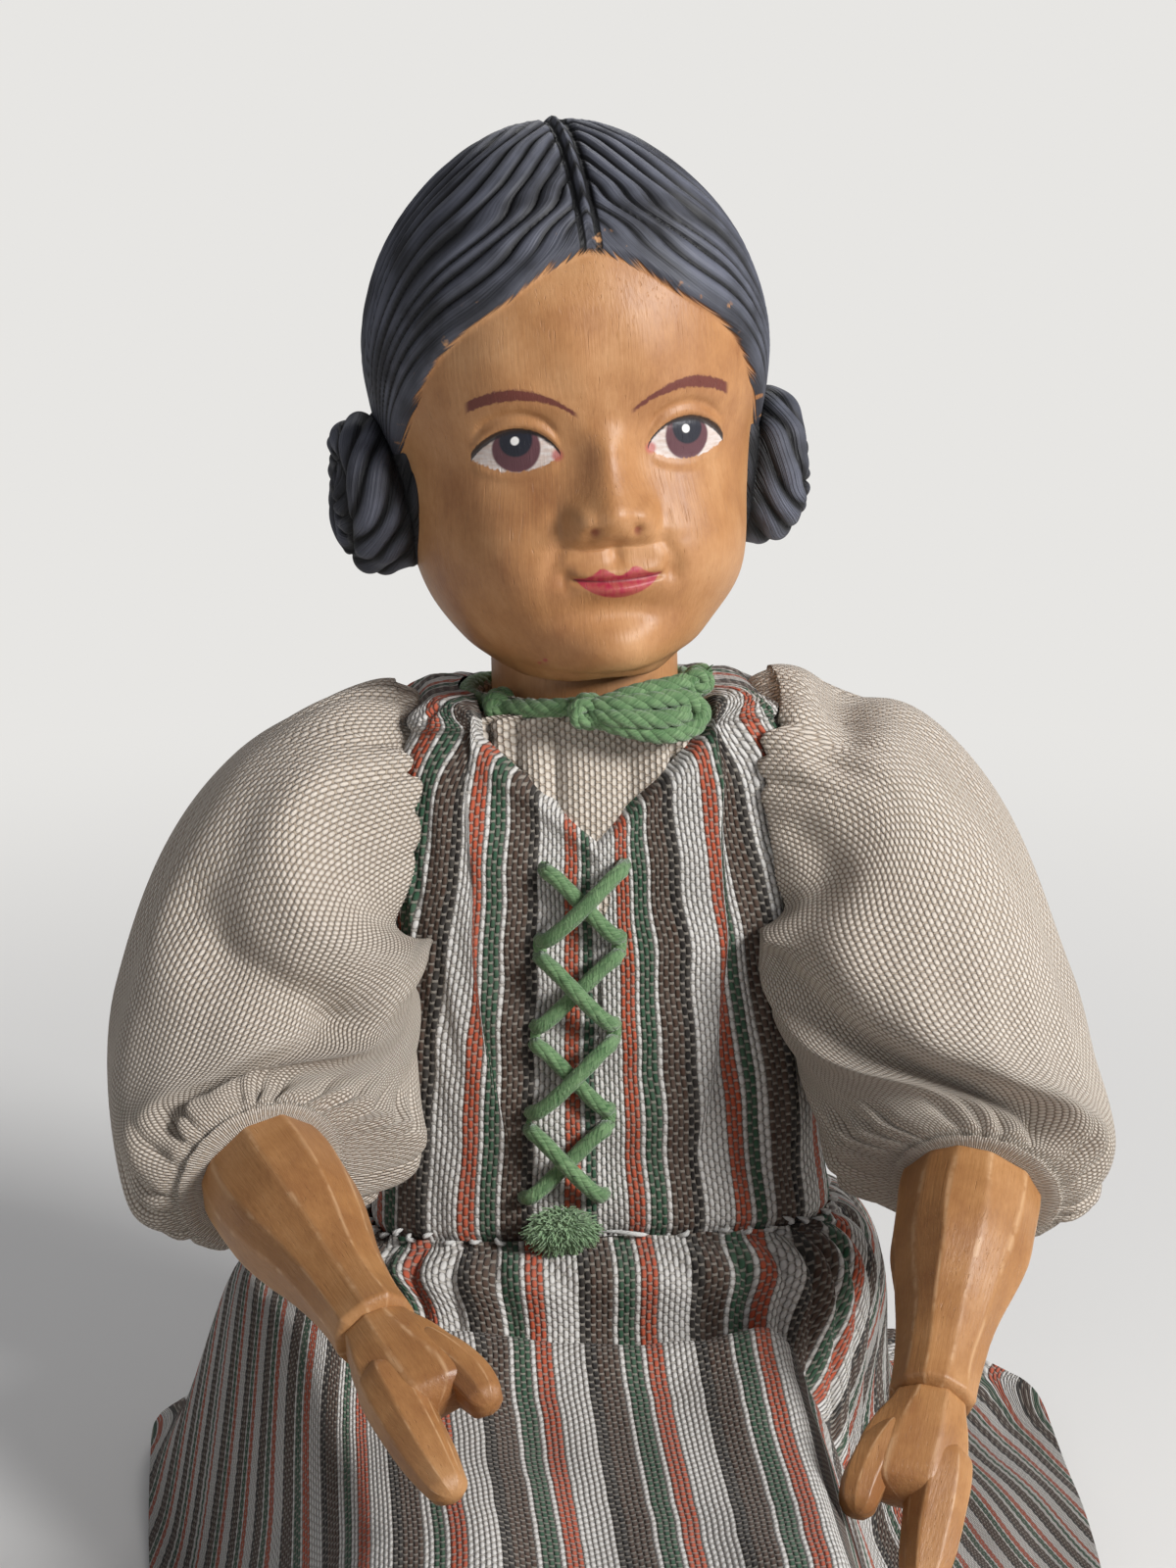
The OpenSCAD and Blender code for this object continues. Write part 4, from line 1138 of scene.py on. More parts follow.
@dataclass
class Head:
    """The carved head with its neck, face and combed hair.

    A hill of the face is its rise, its place and width across, and its place and width up. The paired hills
    are eye sockets, eyeballs, cheeks, nostrils and the hollows beside the nose. The middle ones are the
    mouth's swell, the groove over the lip, the hollow under it and the chin.
    """

    height: float = 58.0
    width: float = 43.0
    depth: float = 46.0
    turn: float = 6.0
    tilt: float = -2.0
    neck_show: float = 4.4
    neck_radius: float = 10.0
    neck_gap: float = 0.3
    roundness: float = 2.15
    hair_rise: float = 0.9
    bun_back: float = 2.0
    bun_share: float = 0.36
    comb_step: float = 4.6
    comb_slant: float = 18.0
    shares: tuple = (0, 0.03, 0.08, 0.16, 0.25, 0.34, 0.43, 0.52, 0.61, 0.7, 0.79, 0.87, 0.94, 0.985, 1)
    widths: tuple = (
        0.3, 0.42, 0.58, 0.735, 0.815, 0.85, 0.88, 0.935, 0.955, 0.915, 0.82, 0.665, 0.455, 0.22, 0.02
    )
    fronts: tuple = (
        0.5, 0.66, 0.76, 0.8, 0.82, 0.83, 0.835, 0.88, 0.91, 0.89, 0.81, 0.67, 0.455, 0.22, 0.02
    )
    backs: tuple = (
        0.4, 0.43, 0.48, 0.58, 0.72, 0.83, 0.91, 0.975, 1, 0.965, 0.87, 0.71, 0.485, 0.235, 0.02
    )
    paired_hills: tuple = (
        (-1.45, 8.2, 5.4, 26.2, 4.0), (1.0, 9.15, 3.6, 25.9, 2.3), (1.9, 9.8, 5.8, 14.0, 5.8),
        (-0.4, 2.35, 0.7, 17.6, 0.6), (-0.25, 5.4, 0.8, 18.6, 1.6),
    )
    middle_hills: tuple = (
        (1.1, 0.8, 5.2, 13.0, 3.8), (-0.5, 0.75, 0.75, 15.0, 1.3), (-0.9, 0.8, 4.6, 8.7, 1.5),
        (1.9, 0.2, 4.6, 5.2, 2.8),
    )
    line_angles: tuple = (0, 12, 25, 45, 60, 75, 90, 110, 140, 180)
    line_shares: tuple = (0.79, 0.765, 0.71, 0.63, 0.53, 0.45, 0.36, 0.22, 0.13, 0.1)

    def neck_place(self) -> Place:
        """The neck's frame, turned with the head."""
        return trunk_place().moved(0, 0, TRUNK.top + self.neck_show).turned("Z", self.turn)

    def place(self) -> Place:
        """The head's own frame, at the chin."""
        return self.neck_place().turned("Y", self.tilt)

    def base(self, t: Array, a: Array) -> Array:
        """The head's plain form.

        Args:
            t: Share of the height.
            a: Angle from the front in radians.

        Returns:
            Points in the head's frame.
        """
        hw = self.width / 2 * through(self.shares, self.widths, t)
        front = through(self.shares, self.fronts, t)
        back = through(self.shares, self.backs, t)
        hd = self.depth / 2 * np.where(np.cos(a) > 0, front, back)
        x = hw * power(np.sin(a), self.roundness)
        y = -hd * power(np.cos(a), self.roundness)
        return np.stack([x, y, t * self.height], 1)

    def nose(self, x: Array, z: Array) -> Array:
        """How far the nose stands out."""
        heights = [15.6, 16.6, 17.6, 19.2, 21.5, 24.0, 26.5, 29.5]
        reach = [0.9, 1.9, 3.4, 4.3, 3.1, 2.1, 1.5, 1.0]
        half = [4.6, 4.3, 3.8, 3.5, 3.1, 2.8, 2.8, 3.2]
        inside = smooth((z - heights[0]) / 1.6) * smooth((heights[-1] - z) / 4.0)
        kept = np.clip(z, heights[0], heights[-1])
        ridge = through(heights, reach, kept) * bump((x - 0.4) / through(heights, half, kept))
        wings = 1.0 * bump((np.abs(x - 0.5) - 3.2) / 1.1) * bump((z - 18.7) / 1.3)
        return inside * ridge + wings

    def relief(self, x: Array, z: Array) -> Array:
        """The face's carving, out along the surface.

        Args:
            x: Place across, in the head's frame.
            z: Height above the chin.

        Returns:
            How far each point stands out.
        """
        s = np.abs(x - FACE.middle)
        k = np.clip(1 - ((s - FACE.eye_x) / FACE.eye_half) ** 2, 0, 1)
        upper = FACE.eye_z + FACE.upper_lid * k**0.75
        lower = FACE.eye_z - FACE.lower_lid * k
        lid = 0.3 * bump((z - upper - 0.65) / 0.55) * smooth(k * 3)
        crease = -0.28 * bump((z - upper - 1.75) / 0.5) * smooth(k * 2.5)
        under = 0.18 * bump((z - lower + 0.6) / 0.5) * smooth(k * 2.5)
        edge = -0.28 * bump((z - upper) / 0.3) * smooth(k * 4)
        brow = 0.3 * bump((z - 31.6 + 0.06 * (s - 9.3) ** 2) / 1.6) * bump((s - 8.6) / 5.5)
        fold_x = 4.9 + 1.5 * smooth((17.5 - z) / 5.0)
        fold = -0.4 * bump((s - fold_x) / 0.8) * bump((z - 15.2) / 3.2)
        from_mouth = x - FACE.mouth_x
        corner = -0.65 * bump((np.abs(from_mouth) - 5.3) / 0.9) * bump((z - 12.8) / 1.1)
        m = np.clip(1 - (from_mouth / 5.0) ** 2, 0, 1)
        upper_lip = 0.5 * bump((z - 13.2) / 0.7) * m
        lower_lip = 0.8 * bump((z - 11.4) / 0.85) * m * bump(from_mouth / 3.6)
        mouth = -0.6 * bump((z - FACE.mouth_z + 0.35 * m) / 0.33) * smooth(m * 3)
        jaw = -0.55 * bump((z - 1.9 - 0.012 * (x - 0.2) ** 2) / 0.75) * bump(x / 9.0)
        drawn = lid + crease + under + edge + brow + fold + corner + upper_lip + lower_lip + mouth + jaw
        return drawn + self.hills(self.paired_hills, s, z) + self.hills(self.middle_hills, x, z)

    @staticmethod
    def hills(rows: Sequence[Sequence[float]], x: Array, z: Array) -> Array:
        """The sum of rounded hills and hollows."""
        return sum(h * bump((x - mx) / wide) * bump((z - mz) / tall) for h, mx, wide, mz, tall in rows)

    def comb(self, p: Array) -> tuple[Array, Array]:
        """The combed strands from the parting to the braids.

        Args:
            p: Points in the head's frame.

        Returns:
            The strands' phase in turns, and the spacing of two strands.
        """
        y = p[:, 1] - self.bun_back
        z = p[:, 2] - self.bun_share * self.height
        far = np.hypot(y, z)
        turn = np.degrees(np.arctan2(-y, z))
        uneven = 0.35 * ripple(3, turn / 30, far / 60) + 0.16 * ripple(5, turn / 9, far / 30)
        slant = self.comb_slant * np.sin(math.pi / 2 * np.minimum(np.abs(p[:, 0] - 0.15) / 13, 1))
        return (turn - slant) / self.comb_step + uneven, np.radians(self.comb_step) * far

    def build(self) -> Piece:
        """Carves the head and neck as one piece."""
        bm = bmesh.new()
        bmesh.ops.create_uvsphere(bm, u_segments=360, v_segments=252, radius=1.0)
        obj = new_object("carved_head", bm)
        co = points_of(obj)
        lean = np.arccos(np.clip(-co[:, 2], -1, 1))
        t = 0.5 * lean / math.pi + 0.25 * (1 + co[:, 2])
        a = np.arctan2(co[:, 0], -co[:, 1])
        a = a - 0.35 * np.sin(a)
        p = self.base(t, a)
        cap = np.clip(np.minimum(lean / 0.12, (math.pi - lean) / 0.02), 0, 1)
        p[:, :2] *= cap[:, None]
        front = smooth((np.cos(a) + 0.15) / 0.5)
        p[:, 1] -= front * self.nose(p[:, 0], p[:, 2])
        over = (t - through(self.line_angles, self.line_shares, np.abs(np.degrees(a)))) * self.height
        set_points(obj, p)
        n = normals_of(obj)
        phase, gap = self.comb(p)
        ridge = np.abs(np.sin(math.pi * phase)) ** 0.45
        strong = smooth((gap - 0.7) / 0.9)
        parting = np.abs(p[:, 0] - 0.15)
        cord = 0.35 * bump(parting / 0.4) - 0.55 * bump((parting - 0.8) / 0.4)
        inside = smooth((over + 0.3) / 1.1)
        deep = smooth((over - 1.5) / 4.0)
        hair = self.hair_rise * inside + deep * (0.85 * strong * (ridge - 0.8) * smooth(parting - 0.5) + cord)
        face = front * self.relief(p[:, 0], p[:, 2]) * (1 - smooth((over + 2.0) / 2.0))
        chisel = 0.16 * ripple(11, p[:, 0] / 9, p[:, 2] / 14) * (1 - inside)
        moved = p + n * (hair + face + chisel)[:, None]
        keep_values(obj, carved=p, hair=over, comb=phase, parting=parting)
        set_points(obj, self.place().out(moved))
        self.add_neck(obj)
        close_seams(obj)
        return finish_piece(obj, self.material(), "head", ["head"])

    def add_neck(self, obj: Piece) -> None:
        """Joins the turned neck to the head's mesh.

        Args:
            obj: The head, still in millimetres.
        """
        neck, u, v = flat_grid("neck_turning", 96, 30)
        tall = 14.0
        angle = 2 * math.pi * u
        edge = np.minimum(v, 1 - v)
        r = self.neck_radius * (0.985 + 0.015 * smooth(edge * 12)) * smooth(edge / 0.012) ** 0.5
        z = v * tall - self.neck_show + self.neck_gap
        p = np.stack([r * np.cos(angle), r * np.sin(angle), z], 1)
        bare = np.full(len(p), 20.0)
        keep_values(neck, carved=p + np.array([0.0, 60.0, 0.0]), hair=-bare, comb=0 * bare, parting=bare)
        set_points(neck, self.neck_place().out(p))
        join(obj, [neck])

    def material(self) -> Material:
        """Wood, paint and worn hair in one material, with painted shade in the hair's grooves."""
        g = Graph("painted_head")
        at = g.held("carved", "Vector")
        wood, wood_rough, grain = FACE_WOOD.shade(g, at)
        face = FACE.paint(g, wood, at)
        comb = g.held("comb")
        over = g.held("hair")
        parting = g.held("parting")
        # Painted shade: the ridge mask is low in the comb grooves and in the grooves beside the parting cord,
        # where the hair paint takes its darker groove colour.
        wave = g.math("ABSOLUTE", g.math("SINE", g.times(comb, math.pi)))
        ridge = g.math("POWER", wave, 0.6)
        near_edge = g.step(over, 1.0, 4.0)
        cord_groove_shade_mask = g.step(g.math("ABSOLUTE", g.take(parting, 0.8)), 0.1, 0.45)
        ridge = g.times(g.blend_value(near_edge, 0.75, ridge), cord_groove_shade_mask)
        hair, hair_rough = HairPaint().shade(g, ridge, at, comb)
        brush = g.noise(g.vector(g.times(comb, 3.0), g.times(over, 0.25), 0.0), 1.0, 3.0, 0.6)
        edge = g.add(over, g.times(g.take(brush, 0.5), 2.6))
        painted = g.step(edge, -0.15, 0.2)
        scuffed = g.times(painted, g.step(g.noise(at, 0.5, 3.0), 0.28, 0.36))
        colour = g.blend(g.math("MAXIMUM", scuffed, g.step(over, 1.5, 3.0)), face, hair)
        rough = g.add(g.times(g.take(hair_rough, wood_rough), painted), wood_rough)
        strands = g.noise(g.vector(g.times(comb, 7.0), g.times(over, 0.05), 0.0), 1.0, 2.0)
        carved = g.weighed((ridge, 0.6), (strands, 0.5))
        height = g.blend_value(painted, g.times(grain, 0.4), carved)
        return g.surface(colour, rough, height, 0.0003, Specular_IOR_Level=0.42)


@dataclass
class BraidBun:
    """A braid coiled over one ear."""

    side: Side
    diameter: float = 17.5
    rise: float = 8.5
    seat_in: float = 1.4
    turns: float = 1.9
    strands: int = 11

    def place(self) -> Place:
        """The bun's frame, with Z straight out from the head."""
        head = Head()
        seat = head.width / 2 * float(through(head.shares, head.widths, head.bun_share)) - self.seat_in
        base = head.place().mirrored(self.side)
        return base.moved(seat, head.bun_back, head.bun_share * head.height).turned("Y", 90)

    def build(self) -> Piece:
        """Coils the braid."""
        bm = bmesh.new()
        bmesh.ops.create_uvsphere(bm, u_segments=200, v_segments=140, radius=1.0)
        obj = new_object(f"{self.side.word}_coiled_braid", bm)
        co = points_of(obj)
        lean = np.arccos(np.clip(co[:, 2], -1, 1))
        spin = np.arctan2(co[:, 1], co[:, 0])
        out = lean / math.pi
        marks = [0, 0.2, 0.4, 0.55, 0.7, 0.85, 1]
        rim = through(marks, [0.0, 0.42, 0.78, 0.97, 1.0, 0.93, 0.0], out)
        tall = through(marks, [0.92, 0.96, 0.88, 0.62, 0.3, 0.0, 0.0], out)
        coil = self.turns * out * 1.25 - spin / (2 * math.pi)
        part = coil - np.floor(coil)
        crown = np.sqrt(np.clip(1 - (2 * part - 1) ** 2, 0, 1))
        wind = spin * self.strands / 2 + 2.4 * part * math.pi + 0.7 * ripple(21, co[:, 0], co[:, 1])
        strand = np.abs(np.sin(wind)) ** 0.55
        hold = smooth((0.86 - out) / 0.12) * smooth(out / 0.07)
        swell = hold * (1.1 * (crown - 0.8) + 0.85 * crown * (strand - 0.72))
        lumpy = 0.3 * ripple(23 + self.side.value, co[:, 0] * 1.3, co[:, 1] * 1.3) * hold
        r = self.diameter / 2 * 0.96 * rim
        p = np.stack([r * np.cos(spin), r * np.sin(spin), self.rise * tall], 1)
        set_points(obj, p)
        p = p + normals_of(obj) * (swell + lumpy)[:, None]
        p[:, 2] = np.maximum(p[:, 2], 0.0)
        # The ridge value is low between the coils and between the strands, where the hair paint lays its
        # painted shade.
        ridge = np.clip(crown * strand * 1.05, 0, 1) * hold + 0.5 * (1 - hold)
        keep_values(obj, carved=p, ridge=ridge, comb=wind * 1.4 + part * 3)
        set_points(obj, self.place().out(p))
        close_seams(obj)
        node = f"{self.side.word}_braid_bun"
        return finish_piece(obj, self.material(), "head", [node])

    @staticmethod
    def material() -> Material:
        """Worn slate paint that follows the strands, with painted shade between the coils and strands."""
        g = Graph("painted_braid")
        at = g.held("carved", "Vector")
        comb = g.held("comb")
        ridge = g.held("ridge")
        colour, rough = HairPaint().shade(g, ridge, at, comb)
        lines = g.noise(g.vector(g.times(comb, 2.5), 0.0, 0.0), 1.0, 3.0)
        return g.surface(colour, rough, lines, 0.0004, Specular_IOR_Level=0.4)


@dataclass
class Forearm:
    """One forearm with its mitten hand, pared to long flats with a knife."""

    pose: ArmPose
    start: float = 7.0
    wrist: float = 37.0
    hand: float = 21.0
    hand_turn: float = 250.0
    tongue_radius: float = 5.5
    tongue_half: float = 2.2
    profile: tuple = (6.4, 7.1, 7.2, 6.9, 6.1, 5.2, 4.6, 4.3, 4.35)
    palm: tuple = (
        (-0.04, 0.0, 0.0, 3.4, 3.2), (0.06, 0.1, 0.0, 3.9, 3.3), (0.18, 0.4, -0.1, 4.9, 3.4),
        (0.32, 0.7, -0.3, 5.7, 3.3), (0.46, 0.8, -0.5, 5.9, 3.0), (0.56, 0.8, -0.7, 5.3, 2.4),
    )
    fingers: tuple = (
        (0.2, -1.6, -0.1, 3.2, 3.0), (0.4, -2.2, -0.4, 3.2, 3.1), (0.6, -2.5, -0.8, 3.0, 2.7),
        (0.78, -2.6, -1.3, 2.7, 2.3), (0.92, -2.6, -1.8, 2.2, 1.9), (1.04, -2.5, -2.2, 1.7, 1.5),
    )
    thumb: tuple = (
        (0.16, 2.2, -0.1, 2.4, 2.9), (0.32, 3.6, -0.3, 2.6, 3.0), (0.46, 4.6, -0.5, 2.4, 2.7),
        (0.58, 5.0, -0.6, 2.1, 2.3), (0.7, 5.0, -0.7, 1.6, 1.7),
    )
    worn: Colour = (0.60, 0.38, 0.21)

    def build(self) -> Piece:
        """Carves the forearm, the hand and the elbow's tongue as one piece."""
        word = self.pose.side.word
        seed = 300 if self.pose.side is Side.LEFT else 340
        share = np.linspace(0, 1, len(self.profile))
        arm = [(-mix(self.start, self.wrist + 0.5, k), 0.0, 0.0, r, r) for k, r in zip(share, self.profile)]
        pieces = [self.rod(f"{word}_carved_forearm", arm, 11, seed, grid=(154, 110))]
        for k, shape in enumerate((self.palm, self.fingers, self.thumb)):
            rows = [(-self.hand * s, x, y, rx, ry) for s, x, y, rx, ry in shape]
            place = self.hand_place()
            pieces.append(self.rod(f"{word}_hand_form", rows, 9, seed + 7 * k + 5, place, cap=0.13))
        level = self.pose.forearm().turned("Y", 90)
        half, r = self.tongue_half, self.tongue_radius
        disc = [(z, 0.0, 0.0, r, r) for z in (-half, half)]
        pieces.append(self.rod(f"{word}_tongue", disc, 0, seed, level, grid=(64, 40)))
        root = [(z, 0.0, 0.0, half, r) for z in (0.0, -1.2 * self.start)]
        pieces.append(self.rod(f"{word}_tongue_root", root, 0, seed, roundness=12.0, grid=(64, 40)))
        first = pieces[0]
        join(first, pieces[1:])
        close_seams(first)
        node = f"{word}_forearm"
        return finish_piece(first, self.material(), node, [node])

    def hand_place(self) -> Place:
        """The hand's frame, at the wrist."""
        return self.pose.forearm().moved(0, 0, -self.wrist).turned("Z", self.hand_turn)

    def rod(
        self, name: str, stations: Sequence[Sequence[float]], cuts: int, seed: int,
        place: Optional[Place] = None, roundness: float = 2.2, cap: float = 0.035,
        grid: tuple[int, int] = (110, 72),
    ) -> Piece:
        """A rod with rounded ends, pared to flats.

        Args:
            name: The piece's name.
            stations: Height, middle across and along, and both half widths, from one end to the other.
            cuts: How many flats go round, or 0 for none.
            seed: Sets where the flats lie.
            place: The rod's frame, or None for the forearm's own.
            roundness: 2 for an oval section, and more for a squarer one.
            cap: Share of the length over which each end rounds off.
            grid: Faces round the rod and along it.

        Returns:
            The rod, in millimetres.
        """
        obj, u, v = flat_grid(name, *grid)
        known = np.array(stations, float)
        at = np.linspace(0, 1, len(known))
        z, x, y, rx, ry = (through(at, known[:, k], v) for k in range(5))
        a = 2 * math.pi * u
        end = np.clip(np.minimum(v, 1 - v) / cap, 0, 1)
        close = np.sqrt(np.clip(1 - (1 - end) ** 2, 0, 1))
        factor, edge = knife_cuts(a, z / 16, cuts, seed)
        p = np.stack([
            x + rx * close * factor * power(np.cos(a), roundness),
            y + ry * close * factor * power(np.sin(a), roundness), z,
        ], 1)
        own = self.pose.forearm()
        world = (place or own).out(p)
        keep_values(obj, carved=(world - own.at) @ own.turn, edge=edge)
        set_points(obj, world)
        return obj

    def material(self) -> Material:
        """Stained wood, rubbed pale along the knife's edges."""
        g = Graph("carved_limb_wood")
        at = g.held("carved", "Vector")
        colour, rough, height = LIMB_WOOD.shade(g, at)
        patch = g.step(g.noise(at, 0.35, 3.0, 0.6), 0.42, 0.6)
        rubbed = g.times(g.held("edge"), g.step(patch, 0.0, 1.0, 0.12, 0.6))
        return g.surface(g.blend(rubbed, colour, self.worn), rough, height, 0.00012, Specular_IOR_Level=0.42)


# Clothes


def sew_to_trunk(obj: Piece, p: Array) -> None:
    """Draws a cloth's armholes to true circles, cuts them out and puts the cloth in place.

    Args:
        obj: The cloth.
        p: Its points in the trunk's frame, which are moved at the armholes' edges.
    """
    height, radius = TRUNK.shoulder, TRUNK.armhole
    far = np.hypot(p[:, 1], p[:, 2] - height)
    side = np.abs(p[:, 0]) > 12
    edge = side & (np.abs(far - radius) < 0.4)
    pull = np.where(edge, radius / np.maximum(far, 1e-6), 1.0)
    p[:, 1] *= pull
    p[:, 2] = height + (p[:, 2] - height) * pull
    set_points(obj, trunk_place().out(p))
    drop_faces(obj, side & (far < radius + 0.4))
    close_seams(obj)


@dataclass
class Bodice:
    """The striped bodice, with straps over the shoulders, open at the neck and laced in front."""

    columns: int = 360
    rows: int = 170
    neck_foot: float = 72.6
    neck_half: float = 12.3
    back_neck: float = 14.0
    strap_reach: float = 6.5
    strap_rise: float = 1.3
    left_start: float = 4.7
    right_start: float = 9.25
    waist_tuck: float = 0.4
    girth: float = 126.0

    def strap_end(self, angle: Array) -> Array:
        """The ring that the straps would reach at the neck."""
        height = TRUNK.top + TRUNK.cover + self.strap_rise
        return TRUNK.cap(angle, self.strap_reach - TRUNK.cover, height, True)

    def stops(self) -> Array:
        """Length of each column of the cloth from the waist to the neckline."""
        longest = TRUNK.top - TRUNK.brow - TRUNK.waist + TRUNK.over_length
        lengths = np.linspace(38.0, longest, 300)
        found = []
        for share in np.linspace(0, 1, self.columns + 1):
            angle = np.full(300, -math.pi / 2 + 2 * math.pi * share)
            p = TRUNK.drape(angle, lengths, np.full(300, TRUNK.cover), self.strap_end(angle), True)
            up = (p[:, 2] - self.neck_foot) / (TRUNK.top + 0.3 - self.neck_foot)
            front = (p[:, 1] < 0) & (np.abs(p[:, 0]) < self.neck_half * np.clip(up, 0, 1))
            back = (np.hypot(p[:, 0], p[:, 1]) < self.back_neck) & (p[:, 2] > TRUNK.top - 1)
            gone = np.flatnonzero(front | back)
            found.append(lengths[gone[0]] if len(gone) else longest)
        return np.array(found)

    def build(self) -> Piece:
        """Wraps the cloth from the front opening round the back."""
        obj, u, v = flat_grid("striped_bodice", self.columns, self.rows)
        angle = -math.pi / 2 + 2 * math.pi * u
        stop = self.stops()[np.rint(u * self.columns).astype(int)]
        rise = mix(-self.waist_tuck, stop, v)
        z = TRUNK.waist + rise
        to_edge = stop - rise
        opening = np.minimum(u, 1 - u) * self.girth
        wrinkle = 0.3 * ripple(31, u * 8, v * 2.5) * smooth(v * 6) + 0.14 * ripple(33, u * 26, v * 5)
        pull = 0.4 * bump(opening / 2.0) * np.cos(2 * math.pi * (z - 33.7) / 9.2)
        parted = -0.6 * bump(opening / 0.4)
        hem = 0.45 * bump((to_edge - 1.7) / 1.1) - 1.1 * (1 - smooth(to_edge / 0.8))
        plain = TRUNK.cover + TRUNK.ease(z) + TRUNK.flare(angle, z)
        even = TRUNK.drape(angle, rise, plain, self.strap_end(angle), True)
        out = plain + wrinkle - 0.2 + pull + parted + hem - 0.5 * bump(rise / 0.8)
        p = TRUNK.drape(angle, rise, out, self.strap_end(angle), True)
        keep_uv(obj, self.across(even, u), rise)
        sew_to_trunk(obj, p)
        finish_piece(obj, STRIPES.material(), "torso", ["bodice"])
        return obj

    def across(self, p: Array, u: Array) -> Array:
        """Length across the cloth that sets the stripes, true in front and eased in at the back.

        Args:
            p: The cloth's points, as a grid of rows and columns.
            u: Share of the way round from the front opening.

        Returns:
            A length for each point, in millimetres.
        """
        length = lengths_along(p.reshape(self.rows + 1, self.columns + 1, 3), 1)
        whole = length[:, -1:]
        periods = round((float(np.median(whole)) + self.right_start - self.left_start) / STRIPES.period)
        wish = periods * STRIPES.period - self.right_start + self.left_start
        behind = smooth((u.reshape(length.shape) - 0.2) / 0.6)
        return (self.right_start + length + (wish - whole) * behind).ravel()


@dataclass
class Blouse:
    """The linen blouse's body, gathered into a low collar under the tie."""

    columns: int = 360
    rows: int = 120
    out: float = 1.1
    foot_rise: float = 3.0
    collar_radius: float = 11.3
    collar_rise: float = 3.2
    body_share: float = 0.84
    gathers: int = 15
    girth: float = 130.0

    def build(self) -> Piece:
        """Wraps the linen round the trunk and gathers it at the neck."""
        obj, u, v = flat_grid("linen_blouse_body", self.columns, self.rows)
        angle = math.pi / 2 + 2 * math.pi * u
        longest = TRUNK.top - TRUNK.brow - TRUNK.waist + TRUNK.over_length
        rise = mix(self.foot_rise, longest, np.clip(v / self.body_share, 0, 1))
        foot_z = TRUNK.top + self.out + 0.3
        foot = self.ring(angle, self.collar_radius + 0.3, foot_z)
        p = TRUNK.drape(angle, rise, np.full(len(u), self.out), foot)
        up = np.clip((v - self.body_share) / (1 - self.body_share), 0, 1)
        rim = self.collar_radius + 0.7 * smooth((up - 0.6) / 0.4)
        collar = self.ring(angle, rim, mix(foot_z, TRUNK.top + self.collar_rise, up))
        p = np.where((up > 0)[:, None], collar, p)
        even = p
        uneven = 1.3 * ripple(41, u * 7, v) + 0.5 * ripple(42, u * 19, v)
        pleat = np.abs(np.sin(self.gathers * angle + uneven)) ** 0.7 - 0.5
        near_neck = smooth((rise - 38) / 12)
        depth = 1.3 * near_neck * (1 - 0.6 * bump((up - 0.4) / 0.3)) + 0.1 * ripple(43, u * 12, v * 3)
        way = np.stack([np.cos(angle), np.sin(angle), 0.35 * np.ones(len(u))], 1)
        p = p + way * (pleat * depth)[:, None]
        keep_uv(obj, *cut_lengths(even, self.columns))
        sew_to_trunk(obj, p)
        finish_piece(obj, LINEN.material(), "torso", ["blouse"])
        return obj

    @staticmethod
    def ring(angle: Array, radius: Any, z: Any) -> Array:
        """Points of a level circle round the neck."""
        return np.stack([radius * np.cos(angle), radius * np.sin(angle), z + 0 * angle], 1)


